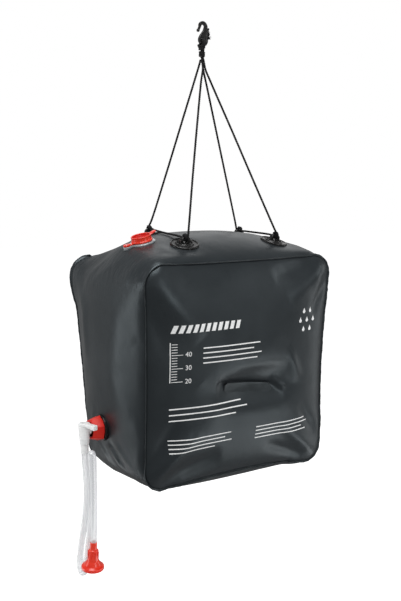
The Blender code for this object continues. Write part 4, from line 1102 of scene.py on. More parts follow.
    def calmed(self, points: np.ndarray) -> np.ndarray:
        """1 where the skin is free, and 0 where a fitting or the tie holds it flat.

        Args:
            points: Places on the skin, one row each.

        Returns:
            The share of freedom at each place.
        """
        free = np.ones(len(points))
        for centre, radius in self.flat_spots:
            away = np.linalg.norm(points - np.array(centre - BAG_MIDDLE), axis=1)
            free *= np.clip((away - radius) / (0.6 * radius), 0, 1)
        return free

    def build(self) -> Dict[str, np.ndarray]:
        """Builds the three skins and finds both seams.

        Returns:
            The front and back seams' points round the bag.
        """
        shape = self.surface(self.form)
        mesh = bpy.data.meshes.new("whole_skin")
        shape.to_mesh(mesh)
        points = np.array([vert.co for vert in mesh.vertices])
        normals = self.normals(mesh, points)
        rise = np.zeros(len(points))
        raw = self.puckers() * self.shares(shape)
        LOG.info(
            "puckers reach %.1f mm, mean %.2f mm", 1000 * np.abs(raw).max(), 1000 * np.abs(raw).mean()
        )
        rise += self.pucker_limit * np.tanh(raw / self.pucker_limit)
        for fold in self.folds:
            rise += fold.heights(points)
        moved = points + normals * (rise * self.calmed(points))[:, None]
        shape.verts.ensure_lookup_table()
        for vert, place in zip(shape.verts, moved):
            vert.co = Vector(place) + BAG_MIDDLE
        bpy.data.meshes.remove(mesh)
        part = shape.faces.layers.int["part"]
        seams = {}
        for name, code, nodes in (
            ("front_skin", 0, ("front_panel", "tie_web")), ("back_skin", 1, ("back_panel",)),
            ("gusset_skin", 2, ("gusset_band",)),
        ):
            copied = shape.copy()
            layer = copied.faces.layers.int["part"]
            others = [face for face in copied.faces if face[layer] != code]
            bmesh.ops.delete(copied, geom=others, context="FACES")
            if code == 2:
                self.open_holes(copied)
            piece = Piece(name, VINYL, Slot.VINYL, "bag", nodes).add_shape(copied, 180.0)
            finer = piece.modifiers.new("finer", "SUBSURF")
            finer.levels = 1
            finer.render_levels = 1
            finer.boundary_smooth = "PRESERVE_CORNERS"
            wall = piece.modifiers.new("wall", "SOLIDIFY")
            wall.thickness = self.sheet
            wall.offset = -1.0
        for name, code in (("front", 0), ("back", 1)):
            seams[name] = self.seam(shape, part, code)
        shape.free()
        return seams

    def open_holes(self, shape: bmesh.types.BMesh) -> None:
        """Opens the gusset under the filler's neck and behind the tap's port.

        Args:
            shape: The gusset's shape.
        """
        for centre, radius in self.flat_spots[-2:]:
            hole = radius * 0.62
            gone = [face for face in shape.faces if (face.calc_center_median() - centre).length < hole]
            bmesh.ops.delete(shape, geom=gone, context="FACES")
            rim = [
                vert for vert in shape.verts if vert.is_boundary and (vert.co - centre).length < 1.5 * hole
            ]
            for vert in rim:
                vert.co = centre + (vert.co - centre).normalized() * hole

    @staticmethod
    def seam(shape: bmesh.types.BMesh, part: Any, code: int) -> np.ndarray:
        """Points of one seam in order round the bag, with its outward direction at each.

        Args:
            shape: The whole skin.
            part: Its layer of face codes.
            code: The panel's code.

        Returns:
            One row for each point: its place, then the direction.
        """
        shape.verts.ensure_lookup_table()
        border = [
            edge for edge in shape.edges if {face[part] for face in edge.link_faces} == {code, 2}
        ]
        following: Dict[int, List[int]] = {}
        for edge in border:
            first, second = (vert.index for vert in edge.verts)
            following.setdefault(first, []).append(second)
            following.setdefault(second, []).append(first)
        start = border[0].verts[0].index
        order = [start]
        while True:
            nexts = [index for index in following[order[-1]] if index not in order[-2:]]
            nexts = [index for index in nexts if index != start or len(order) > 3]
            if not nexts or nexts[0] == start:
                break
            order.append(nexts[0])
        rows = []
        for index in order:
            vert = shape.verts[index]
            inward = Vector()
            for edge in vert.link_edges:
                if edge not in border:
                    inward += (edge.other_vert(vert).co - vert.co).normalized()
            rows.append((*vert.co, *(-inward.normalized())))
        return np.array(rows)


@dataclass
class SeamLip:
    """The narrow welded edge along one seam.

    Attributes:
        name: The piece's name.
        node: The CAD node that it replaces.
        reach: How far it stands out of the seam.
        root: How deep it starts.
        thickness: Its thickness.
    """

    name: str
    node: str
    reach: float = 0.0032
    root: float = 0.0010
    thickness: float = 0.0018

    def build(self, seam: np.ndarray) -> bpy.types.Object:
        """Builds the lip along the seam's points.

        Args:
            seam: Places along the seam with their outward directions, one row each.

        Returns:
            The lip's object.
        """
        places, outward = seam[:, :3], seam[:, 3:]
        for _ in range(6):
            outward = (np.roll(outward, 1, 0) + outward + np.roll(outward, -1, 0)) / 3
        outward /= np.linalg.norm(outward, axis=1)[:, None]
        along = np.roll(places, -1, 0) - np.roll(places, 1, 0)
        along /= np.linalg.norm(along, axis=1)[:, None]
        across = np.cross(along, outward)
        half = self.thickness / 2
        section = (
            (-self.root, half), (self.reach * 0.28, half * 0.72), (self.reach * 0.45, half * 0.40),
            (self.reach * 0.62, half * 0.72), (self.reach * 0.86, half * 0.80), (self.reach, half * 0.35),
            (self.reach, -half * 0.35), (self.reach * 0.86, -half * 0.80), (self.reach * 0.62, -half * 0.72),
            (self.reach * 0.45, -half * 0.40), (self.reach * 0.28, -half * 0.72), (-self.root, -half),
        )
        wave = 0.00025 * np.sin(np.arange(len(places)) * 2.3) + 0.0003 * np.sin(np.arange(len(places)) * 0.71)
        shape = bmesh.new()
        loops = []
        for out, aside in section:
            moved = outward * (out + (wave if out > 0 else 0 * wave))[:, None]
            ring = [
                shape.verts.new(place)
                for place in places + moved + across * aside
            ]
            loops.append([shape.edges.new(pair) for pair in zip(ring, ring[1:] + ring[:1])])
        for loop, after in zip(loops, loops[1:] + loops[:1]):
            bmesh.ops.bridge_loops(shape, edges=loop + after)
        bmesh.ops.recalc_face_normals(shape, faces=shape.faces[:])
        return Piece(self.name, WELD_VINYL_PAINTED_LIGHT, Slot.VINYL, "bag", (self.node,)).add_shape(shape, 50.0)


@dataclass
class Rope:
    """A cord of twisted plies along a route.

    Attributes:
        name: The piece's name.
        route: Points in the row frame.
        node: The CAD node that it replaces, if any.
        diameter: Diameter over the plies.
        plies: Number of plies.
        pitch: Length of one twist.
        step: Distance between the points of the line.
    """

    name: str
    route: Sequence[Point]
    node: Optional[str] = None
    diameter: float = CORD_DIAMETER
    plies: int = 3
    pitch: float = 0.0125
    step: float = 0.0012

    @staticmethod
    def smooth(points: Sequence[Point], step: float) -> List[Vector]:
        """Reads points from a smooth curve through a route.

        Args:
            points: The route.
            step: About how far apart the points are read.

        Returns:
            The points.
        """
        knots = [Vector(point) for point in points]
        padded = [2 * knots[0] - knots[1]] + knots + [2 * knots[-1] - knots[-2]]
        read = [knots[0]]
        for before, start, end, after in zip(padded, padded[1:], padded[2:], padded[3:]):
            first, middle, last = (
                (b - a).length ** 0.5 for a, b in ((before, start), (start, end), (end, after))
            )
            leave = (start - before) / first - (end - before) / (first + middle) + (end - start) / middle
            arrive = (end - start) / middle - (after - start) / (middle + last) + (after - end) / last
            count = max(1, math.ceil((end - start).length / step))
            for index in range(1, count + 1):
                share = index / count
                square, cube = share ** 2, share ** 3
                read.append(
                    start * (2 * cube - 3 * square + 1) + leave * middle * (cube - 2 * square + share)
                    + end * (3 * square - 2 * cube) + arrive * middle * (cube - square)
                )
        return read

    @staticmethod
    def carried(line: Sequence[Vector]) -> List[Tuple[Vector, Vector]]:
        """Two directions across a line at each of its points, carried along without twist.

        Args:
            line: The line's points.

        Returns:
            The two directions at each point.
        """
        frames = []
        side = (line[1] - line[0]).orthogonal().normalized()
        for index in range(len(line)):
            ahead = (line[min(index + 1, len(line) - 1)] - line[max(index - 1, 0)]).normalized()
            side = (side - ahead * side.dot(ahead)).normalized()
            frames.append((side, ahead.cross(side)))
        return frames

    def mesh(self) -> Tuple[bpy.types.Mesh, List[Vector]]:
        """The plies as one mesh, and the line that they follow.

        Returns:
            The mesh and the line.
        """
        line = self.smooth(self.route, self.step)
        frames = self.carried(line)
        ply = self.diameter * 0.35
        orbit = self.diameter * 0.31
        curve = bpy.data.curves.new(self.name, "CURVE")
        curve.dimensions = "3D"
        gone = [0.0]
        for start, end in zip(line, line[1:]):
            gone.append(gone[-1] + (end - start).length)
        for index in range(self.plies):
            spline = curve.splines.new("POLY")
            spline.points.add(len(line) - 1)
            for knot, centre, (side, up), length in zip(spline.points, line, frames, gone):
                turn = math.tau * (length / self.pitch + index / self.plies)
                knot.co = (*(centre + side * (orbit * math.cos(turn)) + up * (orbit * math.sin(turn))), 1.0)
        curve.bevel_depth = ply
        curve.bevel_resolution = 1
        curve.use_fill_caps = True
        passing = bpy.data.objects.new(self.name + "_passing", curve)
        mesh = bpy.data.meshes.new_from_object(passing)
        bpy.data.objects.remove(passing)
        bpy.data.curves.remove(curve)
        return mesh, line

    def build(self, declared: Optional[Dict[str, Any]] = None) -> bpy.types.Object:
        """Returns:
            The rope's object.
        """
        mesh, line = self.mesh()
        nodes = (self.node,) if self.node else ()
        rope = Piece(self.name, CORD, Slot.CORD, "bag", nodes).add(mesh, 60.0)
        if declared is not None:
            length = sum((end - start).length for start, end in zip(line, line[1:]))
            LOG.info("%s is %.3f m long", self.name, length)
        return rope


@dataclass
class Knot:
    """The wound knot under the hook.

    Attributes:
        x: Its axis.
        top: Height of its collar.
        bottom: Height of its lower end.
    """

    x: float = -0.0012
    top: float = -0.0405
    bottom: float = -0.0617

    @staticmethod
    def bight(bend: float, x: float) -> List[Point]:
        """Points of a loop through the hook's eye.

        Args:
            bend: Radius of the loop about the bar under the eye.
            x: Where it lies across the hook.

        Returns:
            The points, from one leg to the other.
        """
        points = [(x, min(bend, 0.0052), -0.0408), (x, bend, -0.0365)]
        for step in range(9):
            turn = math.pi * step / 8
            points.append((x, bend * math.cos(turn), bend * math.sin(turn) - 0.0326))
        return points + [(x, -bend, -0.0365), (x, -min(bend, 0.0052), -0.0408)]

    def coil(self, radius: float, high: float, low: float, turns: float, start: float,
        tilt: float = 0.0) -> List[Point]:
        """Points of a winding round the knot's axis.

        Args:
            radius: Distance from the axis.
            high: Where it starts, up the axis.
            low: Where it ends.
            turns: How many turns it makes.
            start: Its first angle.
            tilt: How far its turns lean.

        Returns:
            The winding's points.
        """
        count = max(12, int(16 * turns))
        points = []
        for index in range(count + 1):
            share = index / count
            turn = start + math.tau * turns * share
            z = high + (low - high) * share + tilt * math.cos(turn)
            points.append((self.x + radius * math.cos(turn), radius * math.sin(turn), z))
        return points

    def build(self) -> None:
        """Builds the core, the windings and the crossing turn."""
        half = CORD_DIAMETER / 2
        core = Shaper.turned(Shaper.soften((
            (0, self.top - half), (0.0040, self.top - half), (0.0036, self.top - 0.0070),
            (0.0036, self.bottom + 0.0060),
            (0.0028, self.bottom + 0.0036), (0.0028, self.bottom - 0.0006), (0.0018, self.bottom - 0.0016),
            (0, self.bottom - 0.0016),
        ), 0.001), 24)
        windings = (
            Rope("wraps", self.coil(0.0040, self.top - 0.0072, self.bottom + 0.0052, 2.8, 0.6, 0.0004),
                step=0.0006),
            Rope("collar", self.coil(0.0046, self.top + 0.0036, self.top - 0.0030, 2.4, 2.2, 0.0012),
                step=0.0006),
            Rope("crossing", [
                (self.x - 0.0030, -0.0012, self.bottom + 0.0042), (self.x, -0.0030, self.bottom + 0.0022),
                (self.x + 0.0022, -0.0014, self.bottom - 0.0004),
            ], step=0.0006),
        )
        for winding in windings:
            mesh, _ = winding.mesh()
            core.from_mesh(mesh)
            bpy.data.meshes.remove(mesh)
        for vert in core.verts:
            if vert.co.x == 0 and vert.co.y == 0:
                vert.co.x = self.x
        Piece("sling_knot_windings", CORD, Slot.CORD, "bag", ("sling_knot",)).add_shape(core, 60.0)
        Piece("tail_fray", CORD, Slot.CORD, "bag").add_shape(self.fray(), 60.0)

    @staticmethod
    def fray() -> bmesh.types.BMesh:
        """Loose fibres of both cut ends, as thin cones.

        Returns:
            The cones as one shape.
        """
        shape = bmesh.new()
        for root, low, high in (
            (Vector((0.0140, 0.0060, -0.0185)), 40.0, 75.0), (Vector((0.0150, 0.0080, -0.0235)), 5.0, 50.0)
        ):
            for index in range(9):
                turn = math.radians(low + (high - low) * index / 8)
                length = 0.0082 + 0.0018 * math.sin(index * 2.4)
                ahead = Vector((math.cos(turn), 0.22 * math.sin(index * 1.9), math.sin(turn))).normalized()
                place = Shaper.frame_along(root + ahead * length / 2, ahead, Vector((0, 1, 0)))
                bmesh.ops.create_cone(
                    shape, cap_ends=True, segments=7, radius1=0.0011, radius2=0.0003, depth=length,
                    matrix=place,
                )
        return shape


@dataclass
class Hose:
    """The folded clear hose.

    Attributes:
        wall: Thickness of its wall.
        squash: How flat it is where it folds.
    """

    wall: float = 0.0014
    squash: float = 0.70

    def build(self, fittings: Sequence[bpy.types.Object]) -> bpy.types.Object:
        """Args:
            fittings: The pieces at its free end; not used.

        Returns:
            The hose's object.
        """
        line = Rope.smooth(HOSE_ROUTE, 0.0022)
        curve = bpy.data.curves.new("hose_line", "CURVE")
        curve.dimensions = "3D"
        spline = curve.splines.new("POLY")
        spline.points.add(len(line) - 1)
        for knot, point in zip(spline.points, line):
            knot.co = (*point, 1.0)
        curve.bevel_depth = HOSE_DIAMETER / 2
        curve.bevel_resolution = 7
        passing = bpy.data.objects.new("hose_passing", curve)
        mesh = bpy.data.meshes.new_from_object(passing)
        bpy.data.objects.remove(passing)
        self.flatten(mesh, line)
        hose = Piece("clear_hose", CLEAR, Slot.CLEAR, "bag", ("hose",)).add(mesh, 60.0)
        wall = hose.modifiers.new("wall", "SOLIDIFY")
        wall.thickness = self.wall
        wall.offset = -1.0
        length = sum((end - start).length for start, end in zip(line, line[1:]))
        LOG.info("hose is %.3f m long", length)
        return hose

    def flatten(self, mesh: bpy.types.Mesh, line: Sequence[Vector]) -> None:
        """Presses the tube flat across each sharp fold.

        Args:
            mesh: The tube's mesh, which is changed.
            line: The line that it follows.
        """
        knots = np.array([tuple(point) for point in line])
        ahead = np.gradient(knots, axis=0)
        ahead /= np.linalg.norm(ahead, axis=1)[:, None]
        step = float(np.linalg.norm(np.diff(knots, axis=0), axis=1).mean())
        bend = np.gradient(ahead, axis=0) / step
        for _ in range(6):
            bend = (np.roll(bend, 1, 0) + bend + np.roll(bend, -1, 0)) / 3
        strength = np.linalg.norm(bend, axis=1)
        share = np.clip((strength - 35.0) / 70.0, 0, 1) * self.squash * 0.5
        inward = bend / np.maximum(strength, 1e-6)[:, None]
        for vert in mesh.vertices:
            place = np.array(vert.co)
            index = int(np.linalg.norm(knots - place, axis=1).argmin())
            offset = place - knots[index]
            depth = float(offset @ inward[index])
            vert.co = place - inward[index] * depth * share[index]


@dataclass
class PadEyes:
    """The four moulded eyes on top of the bag.

    Attributes:
        form: The bag's filled form.
        lug_width: Width of a lug.
        lug_height: Height of a lug.
        lug_thickness: Thickness of a lug.
        hole_radius: Radius of the cord's hole.
        hole_height: Height of the hole's middle.
    """

    form: BagForm
    lug_width: float = 0.021
    lug_height: float = 0.0150
    lug_thickness: float = 0.0062
    hole_radius: float = 0.0047
    hole_height: float = 0.0082

    def places(self) -> Dict[str, Matrix]:
        """The eyes' frames by node name.

        Returns:
            A frame for each eye's node.
        """
        found = {}
        for side_name, side in (("left", -1), ("right", 1)):
            found["pad_eye_" + side_name + "_front"] = self.form.top_frame(0.0135 + side * 0.0995, -0.070)
            found["pad_eye_" + side_name + "_back"] = self.form.top_frame(0.0298 + side * 0.1038, 0.072)
        return found

    def disc(self) -> bmesh.types.BMesh:
        """The disc with its rim, ring and boss.

        Returns:
            The disc's shape.
        """
        profile = (
            (0.0, -0.0035), (0.0255, -0.0035), (0.0262, -0.0010), (0.0260, 0.0016), (0.0250, 0.0027),
            (0.0238, 0.0027),
            (0.0226, 0.0013), (0.0172, 0.0011), (0.0164, 0.0030), (0.0154, 0.0034), (0.0145, 0.0030),
            (0.0138, 0.0011),
            (0.0116, 0.0011), (0.0106, 0.0026), (0.0096, 0.0031), (0.0, 0.0031),
        )
        return Shaper.turned(Shaper.soften(profile, 0.0006, 2), 72)

    def lug(self) -> bmesh.types.BMesh:
        """The upright lug with its cord hole.

        Returns:
            The lug's shape.
        """
        half = self.lug_width / 2
        shoulder = self.lug_height - half * 0.75
        outline = [(-half - 0.0012, 0.0), (half + 0.0012, 0.0), (half, 0.0030)]
        for step in range(25):
            turn = math.pi * step / 24
            outline.append((half * math.cos(turn), shoulder + (self.lug_height - shoulder) * math.sin(turn)))
        outline.append((-half, 0.0030))
        shape = bmesh.new()
        rim = [shape.verts.new((x, y, 0)) for x, y in outline]
        hole = bmesh.ops.create_circle(
            shape, segments=24, radius=self.hole_radius, matrix=Matrix.Translation((0, self.hole_height, 0)),
        )["verts"]
        edges = [shape.edges.new(pair) for pair in zip(rim, rim[1:] + rim[:1])]
        edges += list({edge for vert in hole for edge in vert.link_edges})
        bmesh.ops.triangle_fill(shape, edges=edges, use_beauty=True)
        grown = bmesh.ops.extrude_face_region(shape, geom=shape.faces[:], use_keep_orig=True)
        raised = [item for item in grown["geom"] if isinstance(item, bmesh.types.BMVert)]
        bmesh.ops.translate(shape, verts=raised, vec=(0, 0, self.lug_thickness))
        bmesh.ops.translate(shape, verts=shape.verts[:], vec=(0, 0, -self.lug_thickness / 2))
        bmesh.ops.recalc_face_normals(shape, faces=shape.faces[:])
        sharp = [edge for edge in shape.edges if edge.calc_face_angle(0.0) > math.radians(50.0)]
        bmesh.ops.bevel(
            shape, geom=sharp, offset=0.0009, offset_type="OFFSET", affect="EDGES", segments=3, profile=0.5,
            material=-1, clamp_overlap=True,
        )
        return shape

    def build(self) -> None:
        """Builds the four eyes."""
        for node, place in self.places().items():
            shape = Shaper.put(self.disc(), place)
            upright = place @ Matrix.Rotation(math.pi / 2, 4, "X")
            Shaper.put(self.lug(), upright, shape)
            Piece(node + "_moulding", MOULDING, Slot.MOULDING, "bag", (node,)).add_shape(shape,
                MOULDED_DEGREES)
            Piece(node + "_turns", CORD, Slot.CORD, "bag").add(self.turns(upright), 60.0)

    def turns(self, upright: Matrix) -> bpy.types.Mesh:
        """Cord turns tied round the top of a lug.

        Args:
            upright: The lug's frame.

        Returns:
            The turns' mesh.
        """
        points = []
        for step in range(45):
            turn = math.tau * 2.7 * step / 44
            across = 0.0052 * math.sin(turn)
            high = self.hole_height + 0.0048 + 0.0050 * math.cos(turn)
            points.append(tuple(upright @ Vector((0.0026 * (step / 22 - 1), high, across))))
        mesh, _ = Rope("turns", points, step=0.0006).mesh()
        return mesh


@dataclass
class Hook:
    """The moulded hook: its outline, eye and ball tip.

    Attributes:
        length: Length that the outline's body is drawn to.
        thickness: Thickness of the moulding.
        mouth: Inner radius of the crown.
    """

    length: float = 0.0348
    thickness: float = 0.0050
    mouth: float = 0.0036

    def outline(self) -> List[Tuple[float, float]]:
        """Flat outline from the tip over the crown and round the body.

        Returns:
            The outline's points, in order.
        """
        outer, inner = [], []
        for step in range(25):
            share = step / 24
            turn = math.pi * (1 - share)
            arm = 0.0044 * (1 - share) + 0.0066 * share
            reach = self.mouth + arm + (0.0062 - arm) * math.sin(turn)
            outer.append((reach * math.cos(turn), reach * math.sin(turn) - self.mouth))
            inner.append((self.mouth * math.cos(turn), self.mouth * math.sin(turn) - self.mouth))
        body = Shaper.soften([(x * self.length, z * self.length) for x, z in (
            (0.284, -0.362), (0.270, -0.575), (0.282, -0.747), (0.241, -0.891), (0.129, -0.977),
            (-0.034, -1.000), (-0.187, -0.960), (-0.264, -0.833), (-0.247, -0.690), (-0.172, -0.546),
            (-0.092, -0.445), (0.034, -0.287),
        )], 0.0022, 3)
        tip = (-0.272 * self.length, -0.302 * self.length)
        return [(tip[0] + 0.0022, tip[1]), (tip[0] - 0.0022, tip[1])] + outer + body + inner[::-1]

    def build(self) -> None:
        """Builds the hook with its eye cut through."""
        outline = self.outline()
        shape = bmesh.new()
        rim = [shape.verts.new((x, y, 0)) for x, y in outline]
        eye = Matrix.Translation((-0.0012, -0.0268, 0))
        hole = bmesh.ops.create_circle(shape, segments=28, radius=0.0036, matrix=eye)["verts"]
        edges = [shape.edges.new(pair) for pair in zip(rim, rim[1:] + rim[:1])]
        edges += list({edge for vert in hole for edge in vert.link_edges})
        bmesh.ops.triangle_fill(shape, edges=edges, use_beauty=True)
        grown = bmesh.ops.extrude_face_region(shape, geom=shape.faces[:], use_keep_orig=True)
        raised = [item for item in grown["geom"] if isinstance(item, bmesh.types.BMVert)]
        bmesh.ops.translate(shape, verts=raised, vec=(0, 0, self.thickness))
        bmesh.ops.translate(shape, verts=shape.verts[:], vec=(0, 0, -self.thickness / 2))
        bmesh.ops.recalc_face_normals(shape, faces=shape.faces[:])
        sharp = [edge for edge in shape.edges if edge.calc_face_angle(0.0) > math.radians(50.0)]
        bmesh.ops.bevel(
            shape, geom=sharp, offset=0.0011, offset_type="OFFSET", affect="EDGES", segments=3, profile=0.5,
            material=-1, clamp_overlap=True,
        )
        upright = Matrix.Rotation(math.pi / 2, 4, "X")
        Shaper.put(shape, upright)
        bmesh.ops.create_uvsphere(
            shape, u_segments=28, v_segments=16, radius=0.0031,
            matrix=Matrix.Translation((-0.272 * self.length, 0, -0.302 * self.length)),
        )
        Piece("hook_moulding", MOULDING, Slot.MOULDING, "hanger", ("hook",)).add_shape(shape, 35.0)


@dataclass
class Filler:
    """The filler: pale flange and neck, red cap with its tab, tongue and anchor.

    Attributes:
        form: The bag's filled form.
        hinge_reach: From the cap's axis to the hinge.
        hinge_height: Height of the hinge.
        anchor_reach: From the cap's axis to the ear's stud.
        tab_rise: How far the tab rises to its end.
    """

    form: BagForm
    hinge_reach: float = 0.0245
    hinge_height: float = 0.0034
    anchor_reach: float = 0.0320
    tab_rise: float = 0.0030

    def place(self) -> Matrix:
        """The filler's frame."""
        return self.form.top_frame(-0.138, -0.010)

    def build(self) -> None:
        """Builds the flange, the cap and the anchor."""
        place = self.place()
        ring = Shaper.turned(Shaper.soften((
            (0.0140, -0.0040), (0.0240, -0.0040), (0.0242, 0.0004), (0.0230, 0.0016), (0.0168, 0.0016),
            (0.0165, 0.0070), (0.0140, 0.0070),
        ), 0.0005, 2, True), 72, True)
        ear = [(-0.0185, -0.0065), (-0.0185, 0.0065)]
        for step in range(17):
            turn = math.pi / 2 + math.pi * step / 16
            ear.append((0.0065 * math.cos(turn) - 0.0320, 0.0065 * math.sin(turn)))
        Shaper.put(Shaper.slab(ear, -0.0035, 0.0016, 0.0005), Matrix(), ring)
        stud = Shaper.turned(Shaper.soften(((0, 0), (0.0022, 0), (0.0022, 0.0040), (0.0027, 0.0046),
            (0.0020, 0.0054), (0, 0.0054)), 0.0003, 2), 24)
        Shaper.put(stud, Matrix.Translation((-self.anchor_reach, 0, 0)), ring)
        Shaper.put(ring, place)
        Piece("filler_flange", PALE, Slot.PALE, "bag", ("filler_base",)).add_shape(ring, MOULDED_DEGREES)
        self.build_anchor(place)
        self.build_cap(place)

    def build_anchor(self, place: Matrix) -> None:
        """Builds the loop on the stud with the fixed half of the tongue.

        Args:
            place: The filler's frame.
        """
        loop = Shaper.turned(Shaper.soften(
            ((0.0026, 0.0019), (0.0060, 0.0019), (0.0060, 0.0056), (0.0030, 0.0056)), 0.0012, 3, True,
        ), 40, True)
        tongue = Shaper.slab(
            ((0.0044, -0.0040), (0.0060, -0.0040), (0.0060, 0.0040), (0.0044, 0.0040)), 0.0019, 0.0041, 0.0004
        )
        Shaper.put(tongue, Matrix(), loop)
        Shaper.put(loop, place @ Matrix.Translation((-self.anchor_reach, 0, 0)))
        Piece("cap_anchor_loop", RED, Slot.RED, "bag", ("cap_anchor",)).add_shape(loop, MOULDED_DEGREES)

    def build_cap(self, place: Matrix) -> None:
        """Builds the dished cap with its tab, tongue and hinge.

        Args:
            place: The filler's frame.
        """
        cap = Shaper.turned(Shaper.soften((
            (0, 0.0084), (0.0176, 0.0084), (0.0176, 0.0024), (0.0194, 0.0024), (0.0197, 0.0032),
            (0.0197, 0.0050),
            (0.0188, 0.0056), (0.0185, 0.0066), (0.0183, 0.0112), (0.0188, 0.0124), (0.0184, 0.0134),
            (0.0172, 0.0134),
            (0.0164, 0.0128), (0.0160, 0.0100), (0.0150, 0.0094), (0, 0.0094),
        ), 0.0006, 3), 96)
        tab = Shaper.slab(Shaper.soften(
            ((0.0185, -0.0047), (0.0290, -0.0047), (0.0315, -0.0030), (0.0315, 0.0030), (0.0290, 0.0047),
                (0.0185, 0.0047)),
            0.0012, 3, True,
        ), 0.0, 0.0022, 0.0007)
        rise = Matrix.Rotation(-math.atan2(self.tab_rise, 0.013), 4, "Y")
        root = Matrix.Translation((0.0185, 0, 0.0098))
        Shaper.put(tab, root @ rise @ Matrix.Translation((-0.0185, 0, 0)), cap)
        tongue = Shaper.slab(((-0.0245, -0.0040), (-0.0185, -0.0040), (-0.0185, 0.0040), (-0.0245, 0.0040)),
            0.0026, 0.0042, 0.0004)
        Shaper.put(tongue, Matrix(), cap)
        knuckle = Shaper.turned(((0, -0.0040), (0.0012, -0.0040), (0.0012, 0.0040), (0, 0.0040)), 20)
        Shaper.put(knuckle, Matrix.Translation((-self.hinge_reach, 0,
            self.hinge_height)) @ Matrix.Rotation(math.pi / 2, 4, "X"), cap)
        Shaper.put(cap, place)
        Piece("filler_cap_moulding", RED, Slot.RED, "cap", ("filler_cap",)).add_shape(cap, MOULDED_DEGREES)
        # painted shade: a thin darker red sheet laid just over the cap's dish stands in for the shade in its
        # hollow
        well = Shaper.turned(Shaper.soften((
            (0, 0.0094), (0.0150, 0.0094), (0.0159, 0.0101), (0.0162, 0.0124), (0.0160, 0.0124),
            (0.0156, 0.0104),
            (0.0148, 0.0096), (0.0062, 0.0096), (0.0056, 0.0104), (0.0048, 0.0104), (0.0042, 0.0097),
            (0, 0.0097),
        ), 0.0003, 2), 72)
        Piece("filler_cap_well_painted_shade", RED_PAINTED_SHADE, Slot.RED, "cap").add_shape(
            Shaper.put(well, place), MOULDED_DEGREES
        )


